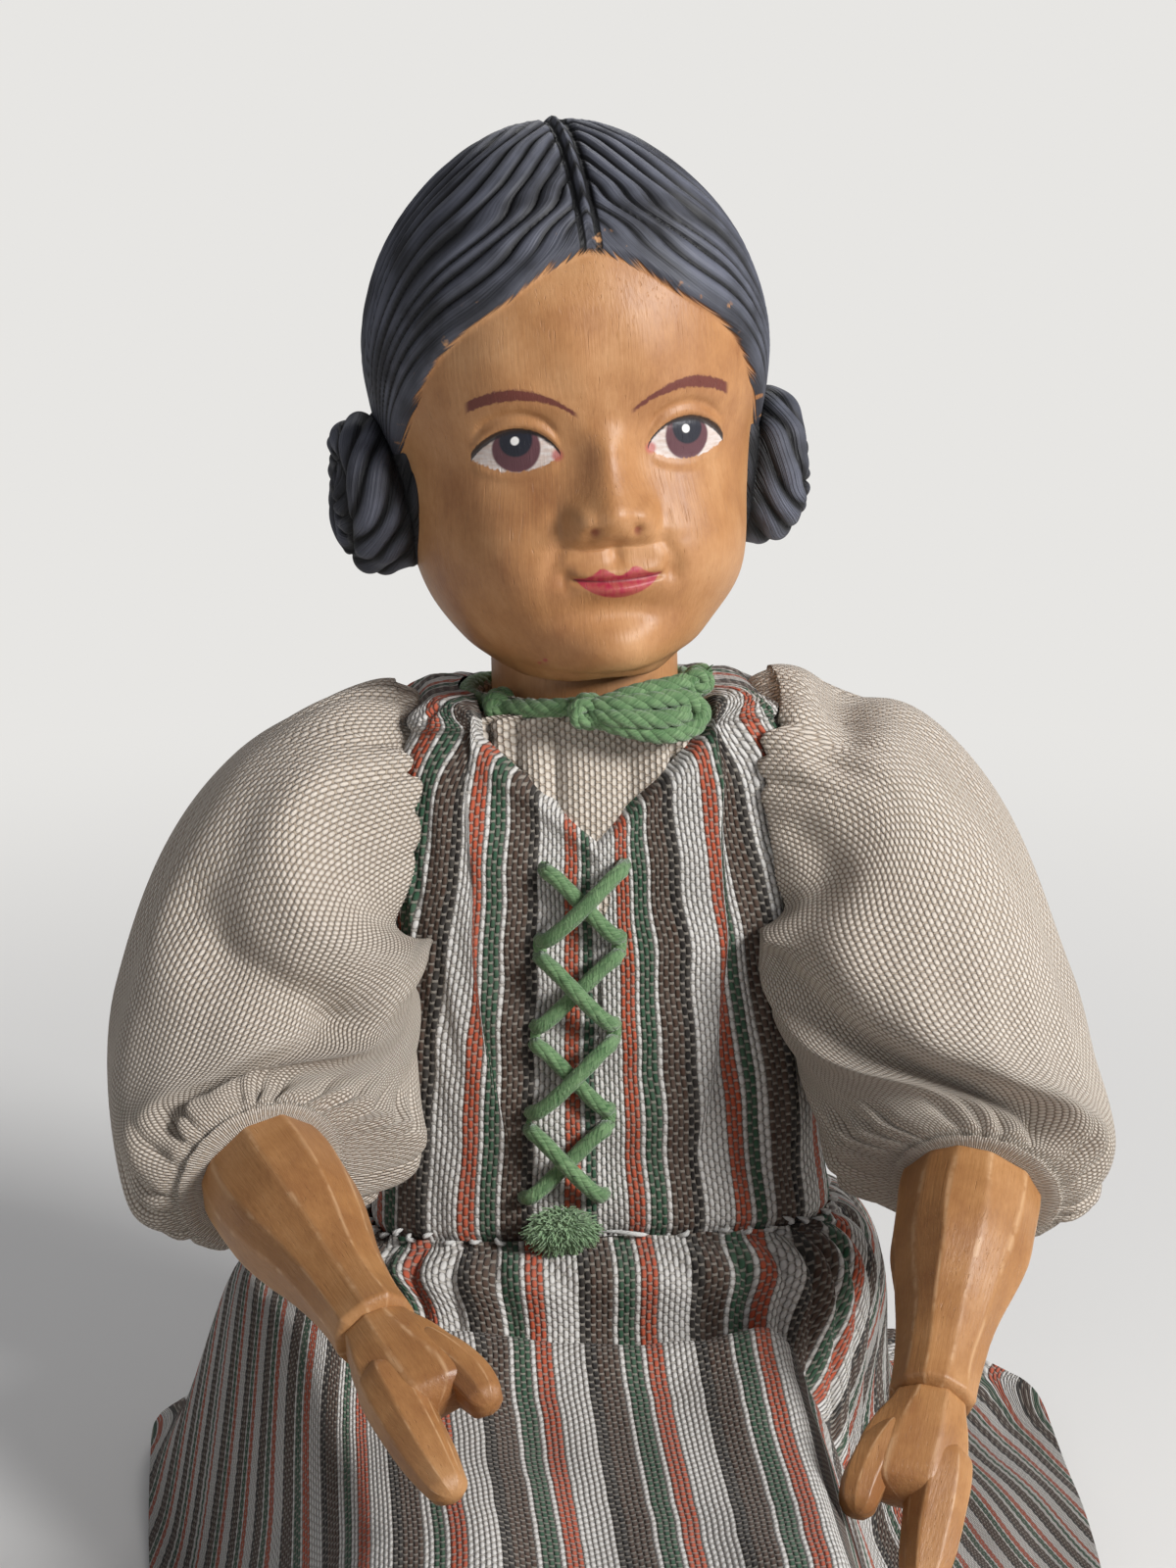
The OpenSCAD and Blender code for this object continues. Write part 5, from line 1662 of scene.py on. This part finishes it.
@dataclass
class Skirt:
    """The striped skirt, gathered at the waist and laid over the lap."""

    columns: int = 440
    rows: int = 220
    hem_front: float = 104.0
    hem_back: float = 31.0
    hem_side: float = 50.0
    roundness: float = 2.7
    lap: float = 21.5
    floor: float = 1.3
    gathers: int = 17
    length: float = 110.0
    stripe_start: float = 4.6

    def ground(self, x: Array, y: Array) -> Array:
        """Height of what the cloth lies on."""
        half = np.where(x < 0, 27.0 + 12.0 * bump((y + 6) / 22), 15.6)
        fall = np.where(x < 0, 17.0 - 6.0 * bump((y + 6) / 22), 11.5)
        over = (1 - smooth((np.abs(x) - half) / fall)) * (1 - smooth((y - 8.0) / 14.0))
        return mix(self.floor, self.lap, over) + 6.0 * bump((x + 31) / 12) * bump((y + 8) / 22)

    def build(self) -> Piece:
        """Lays the cloth from the waist to the hem, with its seam and its straight stripes at the back."""
        obj, u, v = flat_grid("striped_skirt", self.columns, self.rows)
        angle = math.pi / 2 + 2 * math.pi * u
        waist_z = TRUNK.waist + 0.7 * (1 - smooth(v / 0.02)) - 0.3
        out = TRUNK.cover + TRUNK.waist_ease - 0.2 - 0.9 * (1 - smooth(v / 0.03))
        w = TRUNK.layer(angle, waist_z, out + TRUNK.flare(angle, TRUNK.waist), True)
        w[:, 2] = waist_z
        w = trunk_place().out(w)
        s = v**1.45
        reach = np.where(np.sin(angle) < 0, self.hem_front, self.hem_back)
        x = mix(w[:, 0], self.hem_side * power(np.cos(angle), self.roundness), s)
        y = mix(w[:, 1], reach * power(np.sin(angle), self.roundness), s)
        far = np.hypot(x - w[:, 0], y - w[:, 1])
        z = self.heights(angle, s, x, y, far, w[:, 2])
        base = np.stack([x, y, z], 1)
        pleat = np.abs(np.sin(self.gathers * angle + 1.6 * ripple(51, u * 7, v * 2))) ** 0.8 - 0.55
        near = bump(far / 13.0)
        belly = 2.9 * bump((far - 3.0) / 2.6) + 0.9 * pleat * near
        x = x + belly * np.cos(angle)
        y = y + belly * np.sin(angle)
        z = np.maximum(z + 0.9 * pleat * near * smooth(far / 3), self.floor + 0.2 * smooth(v * 4))
        across, down = cut_lengths(base, self.columns)
        lower_rows = across.reshape(-1, self.columns + 1)[self.rows // 2:]
        straight = np.tile(lower_rows.mean(axis=0), self.rows + 1)
        across = mix(across, straight, smooth(np.sin(angle) * 1.5 + 0.15))
        keep_uv(obj, self.stripe_start - across, -down)
        set_points(obj, np.stack([x, y, z], 1))
        close_seams(obj)
        finish_piece(obj, STRIPES.material(), "torso", ["skirt"])
        return obj

    def heights(
        self, angle: Array, s: Array, x: Array, y: Array, far: Array, top: Array
    ) -> Array:
        """The cloth's height before its gathers.

        Args:
            angle: Angle round the waist.
            s: Share of the way from the waist to the hem.
            x: Place across.
            y: Place along.
            far: Distance out from the waist.
            top: The waist's own height.

        Returns:
            A height for each point.
        """
        fold = 1.2 * smooth(s * 3) * (1 + np.sin(9 * angle)) / 2
        soft = 1.0 * ripple(53, x / 30, y / 60) + 0.35 * ripple(55, x / 11, y / 30)
        crease = (1.9 * bump((far - 13.5) / 4.0) - 1.9 * bump((far - 8.0) / 2.2)) * smooth(-np.sin(angle) * 2)
        lying = self.ground(x, y) + fold + 0.7 + soft * smooth(far / 12) + crease
        return mix(lying, top, bump(far / 6.0))


@dataclass(frozen=True)
class Crease:
    """A fold along a line on a sleeve, from one angle and share of the length to another."""

    start: tuple[float, float]
    end: tuple[float, float]
    width: float
    height: float

    def rise(self, a: Array, s: Array) -> Array:
        """How far the fold lifts the cloth.

        Args:
            a: Angle round the sleeve in degrees.
            s: Share of the way from the armhole to the cuff.

        Returns:
            The lift, with its sign, in millimetres.
        """
        scale = np.array([20.0 / 90.0, 55.0])
        p = np.stack([a, s], 1) * scale
        low = np.array(self.start) * scale
        way = np.array(self.end) * scale - low
        t = np.clip((p - low) @ way / (way @ way), 0, 1)
        off = np.linalg.norm(p - low - t[:, None] * way, axis=1)
        fade = 0.55 + 0.45 * np.sin(math.pi * np.clip(t, 0.05, 0.95))
        return self.height * bump(off / self.width) * fade


@dataclass
class Sleeve:
    """One puffed sleeve, in two pieces that meet above the elbow."""

    pose: ArmPose
    columns: int = 260
    rows: int = 120
    puff: float = 9.5
    cuff_at: float = 10.0
    forearm: float = 14.6
    gathers: int = 21
    split: float = 0.5
    gap: float = 1.4
    tuck: float = 2.6
    elbow_room: float = 9.0
    girth: float = 118.0
    length: float = 84.0

    @property
    def inner_edge(self) -> tuple[tuple[float, ...], tuple[float, ...]]:
        """Heights, and how far from the trunk's middle the sleeve's inner edge hangs in front at each."""
        heights = (26, 32, 38, 46, 54, 60, 65, 70, 76, 92)
        if self.pose.side is Side.RIGHT:
            return heights, (24, 21.5, 19.5, 18.2, 17.6, 17.8, 18.5, 19.8, 21.6, 24)
        return heights, (31, 26.5, 22.8, 19, 16.6, 15.8, 16.8, 20, 22.8, 24)

    @property
    def creases(self) -> tuple[Crease, ...]:
        """The folds that this sleeve shows in front."""
        if self.pose.side is Side.RIGHT:
            return (
                Crease((120, 0.10), (228, 0.46), 3.4, 2.6),
                Crease((140, 0.36), (222, 0.60), 2.6, -3.6),
                Crease((200, 0.56), (150, 0.93), 2.4, -2.8),
                Crease((225, 0.62), (185, 0.95), 2.6, 1.8),
                Crease((170, 0.70), (172, 0.95), 1.5, 1.2),
                Crease((100, 0.30), (115, 0.90), 3.2, -1.4),
                Crease((60, 0.20), (80, 0.90), 3.0, -1.5),
            )
        return (
            Crease((60, 0.16), (150, 0.13), 2.0, -3.4),
            Crease((110, 0.04), (160, 0.12), 2.2, 1.5),
            Crease((218, 0.42), (165, 0.93), 2.2, -3.0),
            Crease((192, 0.34), (150, 0.85), 2.8, 1.7),
            Crease((240, 0.50), (195, 0.95), 2.4, 1.6),
            Crease((180, 0.12), (205, 0.40), 2.0, -1.6),
            Crease((110, 0.30), (105, 0.92), 3.4, -1.2),
            Crease((60, 0.30), (70, 0.90), 3.0, -1.5),
        )

    @property
    def bends(self) -> tuple[tuple[tuple[float, float, float], float, float], ...]:
        """Each half's way of going over to the next body, and where that begins and ends."""
        if self.pose.side is Side.RIGHT:
            return ((0.564, -0.213, -0.798), -8.0, 15.1), ((-0.259, -0.682, -0.684), 26.7, 35.8)
        return ((0.391, -0.167, -0.905), -8.0, 17.8), ((0.045, -0.184, -0.982), 23.7, 35.0)

    @property
    def start_x(self) -> float:
        """Where the sleeve starts at the shoulder's height."""
        return TRUNK.chest_width / 2 + TRUNK.cover + self.gap - self.pose.face

    def ways(self) -> tuple[Array, Array]:
        """The upper arm's and the forearm's directions in the shoulder's frame."""
        back = self.pose.shoulder().turn.T
        down = back @ self.pose.arm().turn @ np.array([0, 0, -1.0])
        ahead = back @ self.pose.forearm().turn @ np.array([0, 0, -1.0])
        return down, ahead

    def form(self, a: Array, s: Array) -> Array:
        """The sleeve's surface in the shoulder's frame.

        Args:
            a: Angle round the sleeve.
            s: Share of the way from the armhole to the cuff.

        Returns:
            Rows of three numbers.
        """
        down, ahead = self.ways()
        sa, ca = np.sin(a), np.cos(a)
        left = self.pose.side is Side.LEFT
        elbow = np.array([self.pose.axis_x, 0, 0]) + self.pose.upper * down
        start = np.array([self.start_x, 0, 0])
        crest = start + np.array([11.0, 0, 0]) * smooth((sa + 1) / 2)[:, None]
        bend_at = elbow + 4.0 * down
        cuff = elbow + self.cuff_at * ahead
        q = s[:, None]
        middle = (1 - q) ** 3 * start + 3 * q * (1 - q) ** 2 * crest
        middle = middle + 3 * q**2 * (1 - q) * bend_at + q**3 * cuff
        inward = (3.5 if left else 0.0) * bump((s - 0.4) / 0.3) * smooth((1 - ca) / 2) * smooth(6 * (1 - s))
        middle[:, 0] -= 2.6 * (1 - s) ** 2 * smooth(sa) + inward
        cuff_out = down - ahead * (down @ ahead)
        cuff_out = cuff_out / np.linalg.norm(cuff_out)
        out = self.three(np.array([0, 0, 1.0]), np.array([1.0, 0, 0]), cuff_out, s)
        back = self.three(np.array([0, 1.0, 0]), np.array([0, 1.0, 0]), np.cross(cuff_out, ahead), s)
        full = np.sin(math.pi * s**0.9).clip(0, 1) ** 0.6
        lobe = 0.62 + 0.38 * sa + 0.12 * np.cos(2 * a)
        cuff_r = self.forearm / 2 + 0.5
        r = mix(TRUNK.armhole, cuff_r, s) + self.puff * (0.94 if left else 0.86) * full * lobe
        r = r + self.folds(a, s)
        return middle + r[:, None] * (ca[:, None] * back + sa[:, None] * out)

    def fitted(self, a: Array, s: Array) -> Array:
        """The form with its start drawn to the bodice's side."""
        p = self.form(a, s)
        p[:, 0] -= (1 - smooth(s * 4)) * (self.start_x - self.beside(p))
        return p

    def profile(self) -> tuple[Array, Array]:
        """Heights, and the front's inner edge at each before it hangs."""
        a, s = np.meshgrid(np.linspace(0, 2 * math.pi, 121), np.linspace(0, 1, 121))
        p = self.fitted(a.ravel(), s.ravel())
        height = p[:, 2] + TRUNK.shoulder
        steps = np.linspace(20, 94, 38)
        ahead = p[:, 1] < -6
        least = np.array([np.min(p[ahead & (np.abs(height - z) < 2.5), 0], initial=60.0) for z in steps])
        least = np.where(least > 59, np.min(least), least)
        return steps, np.convolve(np.pad(least, 3, mode="edge"), np.ones(7) / 7, mode="valid")

    def hang(self, p: Array, s: Array) -> Array:
        """Moves the front's inner edge to where the cloth hangs beside the bodice.

        Args:
            p: Points in the shoulder's frame.
            s: Share of the way from the armhole to the cuff.

        Returns:
            The moved points.
        """
        height = p[:, 2] + TRUNK.shoulder
        now = np.interp(height, *self.profile())
        wish = through(*self.inner_edge, height) - self.pose.face
        near = 1 - smooth((p[:, 0] - now) / 18)
        share = near * smooth((-p[:, 1] - 1) / 9) * smooth((1 - s) / 0.12) * smooth(s / 0.34)
        moved = p.copy()
        moved[:, 0] += np.clip(wish - now, -8, 9) * share
        return moved

    @staticmethod
    def three(a: Array, b: Array, c: Array, s: Array) -> Array:
        """Turns from a through b to c, at unit length."""
        first = smooth(2 * s)[:, None]
        second = smooth(2 * s - 1)[:, None]
        way = np.where((s < 0.5)[:, None], mix(a, b, first), mix(b, c, second))
        return way / np.linalg.norm(way, axis=1)[:, None]

    def folds(self, a: Array, s: Array) -> Array:
        """Folds, gathers and soft wrinkles of the linen.

        Args:
            a: Angle round the sleeve.
            s: Share of the way from the armhole to the cuff.

        Returns:
            How far each point is lifted, in millimetres.
        """
        wrap_x, wrap_y = np.cos(a), np.sin(a)
        degrees = np.degrees(a) % 360
        loose = smooth(6 * s) * smooth(7 * (1 - s))
        slow = 1.2 * np.sin(2 * a + math.radians(200) * s + math.radians(40)) * loose * smooth(wrap_y + 1.1)
        seed = 61 if self.pose.side is Side.LEFT else 71
        uneven = ripple(seed, wrap_x * 1.2 + s, wrap_y * 1.2)
        gather = np.abs(np.sin(self.gathers / 2 * a + 1.6 * uneven)) ** 0.8 - 0.55
        at_cuff = 1.3 * gather * bump((s - 0.9) / 0.1) * smooth((1 - s) / 0.06)
        at_top = 0.8 * gather * bump((s - 0.07) / 0.09) * smooth(wrap_y + 0.6)
        soft = 0.7 * ripple(seed + 1, wrap_x * 0.9 + 1.6 * s, wrap_y * 0.9 - 1.2 * s) * loose
        small = 0.22 * ripple(seed + 2, wrap_x * 2.4 + 3 * s, wrap_y * 2.4 + 2 * s) * loose
        drawn = sum(c.rise(degrees, s) for c in self.creases) * loose
        band = -0.9 * bump((s - 0.965) / 0.014) + 0.35 * bump((s - 0.985) / 0.012)
        under = -1.7 * (1 - smooth((1 - s) / 0.014))
        return slow + at_cuff + at_top + soft + small + drawn + band + under

    def build(self) -> list[Piece]:
        """Makes both pieces of the sleeve."""
        word = self.pose.side.word
        upper = self.piece(f"{word}_sleeve_upper", 0.0, self.split)
        lower = self.piece(f"{word}_sleeve_lower", self.split, 1.0)
        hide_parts(f"{word}_sleeve")
        self.bend(upper, lower)
        return [upper, lower]

    def piece(self, name: str, low: float, high: float) -> Piece:
        """One piece of the sleeve.

        Args:
            name: The piece's name.
            low: Share of the sleeve's length at which it starts.
            high: Share at which it ends.

        Returns:
            The dressed piece.
        """
        obj, u, v = flat_grid(name, self.columns, self.rows)
        a = 2 * math.pi * u
        s = mix(low, high, v)
        p = self.hang(self.fitted(a, s), s)
        p[:, 0] = np.maximum(p[:, 0], self.beside(p)) - self.tuck * (1 - smooth(s / 0.035))
        p = self.clear(p, s)
        keep_uv(obj, u * self.girth, s * self.length)
        set_points(obj, self.pose.shoulder().out(p))
        close_seams(obj)
        finish_piece(obj, LINEN.material())
        return obj

    def clear(self, p: Array, s: Array) -> Array:
        """Keeps the cloth off the wood round the elbow."""
        down, _ = self.ways()
        foot = np.array([self.pose.axis_x, 0, 0])
        along = np.clip((p - foot) @ down, self.pose.upper / 2, self.pose.upper)
        off = p - foot - along[:, None] * down
        far = np.linalg.norm(off, axis=1)
        short = np.clip(self.elbow_room - far, 0, None) * smooth((0.94 - s) / 0.08)
        return p + off * (short / np.maximum(far, 0.1))[:, None]

    def beside(self, p: Array) -> Array:
        """The bodice's side at each point, in the shoulder's frame."""
        z = p[:, 2] + TRUNK.shoulder
        out = TRUNK.cover + TRUNK.ease(z)
        hw = TRUNK.half_width(z) + out + TRUNK.flare(np.zeros(len(z)), z)
        hd = TRUNK.half_depth(z) + out
        across = np.minimum(np.abs(p[:, 1]) / hd, 0.985)
        n = TRUNK.corner_power(z)
        return hw * (1 - across**n) ** (1 / n) + self.gap - 0.4 - self.pose.face

    def bend(self, upper: Piece, lower: Piece) -> None:
        """Bakes each half's placement into its mesh; where each half would go over to the next body is worked
        out but not used.
        """
        shoulder = self.pose.shoulder()
        for piece, first, (way, begin, end) in zip((upper, lower), (0, 1), self.bends):
            spots = shoulder.out(np.outer([begin, end], way)) * MM
            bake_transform(piece)


# Yarn


@dataclass
class Lacing:
    """The crossed green lacing and the tassel at its foot."""

    yarn: float = 1.5
    width: float = 8.4
    rows: int = 4
    top: float = 70.6
    foot: float = 4.2
    top_x: float = -1.4
    foot_x: float = -5.0
    lift: float = 0.2
    tuft_strands: int = 760

    def front(self, z: Array) -> Array:
        """The bodice's front at a height."""
        return -TRUNK.half_depth(z) - TRUNK.cover - TRUNK.ease(z)

    def strand(self, hand: int) -> Array:
        """One of the two yarns that cross."""
        k = np.linspace(0, 4 * self.rows, 33 * self.rows + 1)
        step = (self.top - TRUNK.waist - self.foot) / self.rows
        z = self.top - step * k / 4
        swing = np.arcsin(np.clip(1.06 * np.cos(math.pi / 4 * k), -1, 1)) * 2 / math.pi
        rise = 1 - swing**2
        lift = self.lift + self.yarn / 2 + (self.yarn * 0.8 + self.lift if hand > 0 else 0.0) * rise
        into = 1.5 * smooth((np.abs(swing) - 0.93) / 0.07)
        middle = mix(self.foot_x, self.top_x, (z - TRUNK.waist) / (self.top - TRUNK.waist))
        x = middle + hand * self.width / 2 * swing
        return np.stack([x, self.front(z) - lift + into, z], 1)

    def build(self) -> list[Piece]:
        """Laces the bodice and ties the tassel."""
        place = trunk_place()
        strands = []
        for hand in (-1, 1):
            strands += plied(place.out(self.strand(hand)), self.yarn * 1.16, 6, 16.0)
        lacing = yarns("green_lacing", strands, 8)
        finish_piece(lacing, GREEN_YARN.material(), "torso", ["bodice_lacing"])
        return [lacing, self.tassel()]

    def tassel(self) -> Piece:
        """A short fuzzy tuft of cut yarn ends."""
        chance = random.Random(8)
        place = trunk_place()
        z0 = TRUNK.waist + self.foot / 2
        root = np.array([self.foot_x, float(self.front(np.array([z0]))[0]) - 1.2, z0 + 0.6])
        width = np.array([0.1, 0.11, 0.12, 0.12, 0.12, 0.12, 0.11, 0.09, 0.05])
        strands = []
        for _ in range(self.tuft_strands):
            way = chance.uniform(0, 2 * math.pi)
            reach = 4.4 * math.sqrt(chance.random())
            high = math.sqrt(max(1 - (reach / 4.6) ** 2, 0.0))
            tip = np.array([reach * math.cos(way), -2.3 * high - 0.2, 0.68 * reach * math.sin(way) - 0.9])
            stray = [chance.uniform(-0.6, 0.6), -0.5 * chance.random(), chance.uniform(-0.3, 0.6)]
            knee = tip * 0.55 + np.array(stray)
            path = finer([root, root + knee, root + tip * chance.uniform(0.86, 1.08)], 4)
            strands.append((place.out(path), width))
        tuft = yarns("green_tassel", strands, 5)
        return finish_piece(tuft, GREEN_TUFT.material(), "torso", ["lacing_tassel"])


@dataclass
class NeckTie:
    """The green yarn tied round the collar."""

    yarn: float = 2.0
    radius: float = 12.55
    height: float = 86.4
    bow: tuple = (
        (-1, 2.7, -0.3), (3, 3.3, -1.7), (7, 2.9, -2.6), (10.2, 1.5, -2.3), (11.3, 0.8, -0.6),
        (9.4, 1.6, 0.9), (6, 2.7, 0.9), (2.6, 3.2, 0.7), (-0.6, 2.4, 0.5),
    )
    inner: tuple = ((-0.5, 2.6, -0.5), (2.5, 3.9, -0.6), (6, 3.7, -0.9), (8.8, 2.5, -0.8), (9.9, 1.6, -0.2))
    tail: tuple = ((0.0, 2.2, 0.2), (4, 2.2, 1.6), (8, 1.2, 2.2), (11.2, -0.4, 2.6))

    def spots(self, shape: Sequence[Sequence[float]]) -> list[tuple[float, float, float]]:
        """Places given to the left, ahead of the ring and above it, in the trunk's frame."""
        return [(x, -self.radius - ahead, self.height + up) for x, ahead, up in shape]

    def build(self) -> Piece:
        """Winds the ring, the bow and its knots."""
        place = trunk_place()
        turn = np.linspace(0, 2 * math.pi, 181)
        wave = 0.25 * np.sin(3 * turn + 1)
        ring = np.stack([self.radius * np.sin(turn), -self.radius * np.cos(turn), self.height + wave], 1)
        strands = []
        lines = [ring] + [finer(self.spots(shape), 9) for shape in (self.bow, self.inner, self.tail)]
        for line in lines:
            strands += plied(place.out(line), self.yarn * 1.08, 4, 6.4)
        knots = (((-0.8, 2.2, -0.1), 1.35), ((-9.6, -4.2, 0.0), 1.15), ((11.2, -0.4, 2.4), 1.1))
        for spot, size in knots:
            strands += [(place.out(ply), r) for ply, r in self.knot(self.spots([spot])[0], size)]
        obj = yarns("green_neck_tie", strands + self.fray(place), 8)
        return finish_piece(obj, GREEN_YARN.material(), "torso", ["neck_tie"])

    def knot(self, at: Sequence[float], size: float) -> list[Strand]:
        """Two turns of yarn wound over each other."""
        turn = np.linspace(0, 4 * math.pi, 60)
        r = size * (0.75 + 0.2 * np.sin(turn * 1.5))
        line = np.stack([r * np.cos(turn), 0.7 * size * np.sin(turn * 0.5), r * np.sin(turn)], 1)
        return plied(line + np.asarray(at), self.yarn * 0.9, 3, 5.0)

    def fray(self, place: Place) -> list[Strand]:
        """The cut yarn's loose ends at the two end knots."""
        chance = random.Random(5)
        width = np.array([0.12, 0.13, 0.13, 0.12, 0.1, 0.08, 0.04])
        ends = []
        for spot in ((-9.9, -4.4, -0.6), (11.6, -0.6, 3.0)):
            root = np.array(self.spots([spot])[0])
            for _ in range(22):
                tip = np.array([chance.uniform(*span) for span in ((-1.2, 1.2), (-1.2, 0.6), (-1.4, 1.2))])
                ends.append((place.out(finer([root, root + tip * 0.6, root + tip * 1.1], 3)), width))
        return ends


@dataclass
class WaistStitches:
    """White hand stitches along the waist seam."""

    count: int = 44

    def build(self) -> Piece:
        """Sews the stitches round the waist."""
        chance = random.Random(12)
        place = trunk_place()
        width = np.array([0.05, 0.24, 0.27, 0.28, 0.27, 0.24, 0.05])
        strands = []
        for k in range(self.count):
            mid = -math.pi / 2 + 2 * math.pi * (k + 0.3 * chance.random()) / self.count
            half = chance.uniform(0.016, 0.03)
            angle = np.linspace(mid - half, mid + half, 7)
            z = TRUNK.waist + chance.uniform(0.1, 0.9)
            z = z + np.linspace(-0.5, 0.5, 7) * chance.uniform(-0.9, 0.9)
            arch = 0.8 * np.sin(np.linspace(0, math.pi, 7)) - 0.3
            out = TRUNK.cover + TRUNK.waist_ease + TRUNK.flare(angle, z) + arch
            strands.append((place.out(TRUNK.layer(angle, z, out, True)), width))
        obj = yarns("waist_stitches", strands, 6)
        return finish_piece(obj, WHITE_THREAD.material(), "torso")


# Wooden body and stage


@dataclass
class WoodenBody:
    """The trunk, limbs and pegs, which keep their solids."""

    def dress(self) -> None:
        """Gives each wooden solid its grain along its own length."""
        trunk = trunk_place()
        self.give("torso", BODY_WOOD, trunk)
        self.give("hip_dowel", PEG_WOOD, trunk.turned("Y", 90))
        self.give("neck_peg", PEG_WOOD, trunk)
        for side, pose in ARMS.items():
            word = side.word
            self.give(f"{word}_shoulder_peg", PEG_WOOD, trunk.turned("Y", 90))
            self.give(f"{word}_upper_arm", LIMB_WOOD, self.proper(pose.arm()))
            self.give(f"{word}_elbow_peg", PEG_WOOD, self.proper(pose.arm().turned("Y", 90)))
            level = Place(np.eye(3), np.zeros(3))
            self.give(f"{word}_thigh", LIMB_WOOD, level.turned("X", 90))
            self.give(f"{word}_lower_leg", LIMB_WOOD, level.turned("X", 90))
            self.give(f"{word}_knee_peg", PEG_WOOD, level.turned("Y", 90))

    @staticmethod
    def proper(place: Place) -> Place:
        """The same frame without its mirroring."""
        if np.linalg.det(place.turn) > 0:
            return place
        return Place(place.turn @ np.diag([-1.0, 1.0, 1.0]), place.at)

    @staticmethod
    def give(node: str, finish: WoodFinish, place: Place) -> None:
        """Puts one finish on one solid."""
        obj = frame["nodes"][node]
        obj.data.materials.clear()
        obj.data.materials.append(finish.material(place))


@dataclass
class Studio:
    """Camera, lamps and pale floor."""

    azimuth: float = -4.0
    elevation: float = 16.0
    distance: float = 0.45
    target: tuple = (-0.003, -0.017, 0.0828)
    lens: float = 101.25
    pale: Colour = (0.80, 0.79, 0.77)
    sky: Colour = (0.9, 0.92, 1.0)
    sky_strength: float = 0.2
    lamps: tuple = (
        ("key_lamp", (0.58, -0.44, 0.44), 0.24, 8.4),
        ("fill_lamp", (-0.6, -0.5, 0.3), 0.5, 0.6),
        ("rim_lamp", (0.1, 0.6, 0.6), 0.4, 2.0),
    )

    def build(self) -> None:
        """Sets up the scene."""
        scene = bpy.context.scene
        scene.view_settings.view_transform = "Standard"
        a, e = math.radians(self.azimuth), math.radians(self.elevation)
        back = Vector((math.sin(a) * math.cos(e), -math.cos(a) * math.cos(e), math.sin(e)))
        data = bpy.data.cameras.new("photo_camera")
        data.lens = self.lens
        data.sensor_width = 36.0
        camera = bpy.data.objects.new("photo_camera", data)
        camera.location = Vector(self.target) + back * self.distance
        camera.rotation_euler = (-back).to_track_quat("-Z", "Y").to_euler()
        scene.collection.objects.link(camera)
        scene.camera = camera
        for name, at, size, watts in self.lamps:
            self.lamp(name, at, size, watts)
        world = bpy.data.worlds.new("studio_world")
        world.use_nodes = True
        light = world.node_tree.nodes["Background"].inputs
        light["Color"].default_value = (*self.sky, 1.0)
        light["Strength"].default_value = self.sky_strength
        scene.world = world
        self.floor()

    def lamp(self, name: str, at: Sequence[float], size: float, watts: float) -> None:
        """Adds a soft square lamp that faces the doll."""
        data = bpy.data.lights.new(name, "AREA")
        data.size = size
        data.energy = watts
        lamp = bpy.data.objects.new(name, data)
        lamp.location = at
        lamp.rotation_euler = (Vector((0, -0.02, 0.08)) - Vector(at)).to_track_quat("-Z", "Y").to_euler()
        bpy.context.scene.collection.objects.link(lamp)

    def floor(self) -> None:
        """Lays a pale floor, which looks evenly pale from the camera away from the doll's shadow."""
        bm = bmesh.new()
        bmesh.ops.create_grid(bm, x_segments=1, y_segments=1, size=6.0)
        obj = new_object("pale_floor", bm)
        g = Graph("pale_floor")
        at = g.node("TexCoord").outputs["Object"]
        tone = g.noise(at, 3.0, 2.0)
        colour = g.ramp(tone, [(0.3, (0.70, 0.69, 0.67)), (0.7, (0.74, 0.73, 0.71))])
        diffuse = g.node("BsdfDiffuse", {"Color": colour}).outputs[0]
        even = g.node("Emission", {"Color": self.pale}).outputs[0]
        far = g.node("VectorMath", {0: at}, operation="LENGTH").outputs["Value"]
        seen = g.node("LightPath").outputs["Is Camera Ray"]
        share = g.times(seen, g.step(far, 0.1, 0.32))
        mixed = g.node("MixShader", {0: share, 1: diffuse, 2: even}).outputs[0]
        g.node("OutputMaterial", {0: mixed})
        obj.data.materials.append(g.material)


def main() -> None:
    """Builds the doll from the camera out."""
    logging.basicConfig(level=logging.INFO, format="%(message)s")
    Studio().build()
    WoodenBody().dress()
    Head().build()
    for side in Side:
        BraidBun(side).build()
        Forearm(ARMS[side]).build()
    Blouse().build()
    Bodice().build()
    Skirt().build()
    for side in Side:
        Sleeve(ARMS[side]).build()
    Lacing().build()
    NeckTie().build()
    WaistStitches().build()


if __name__ == "__main__":
    main()
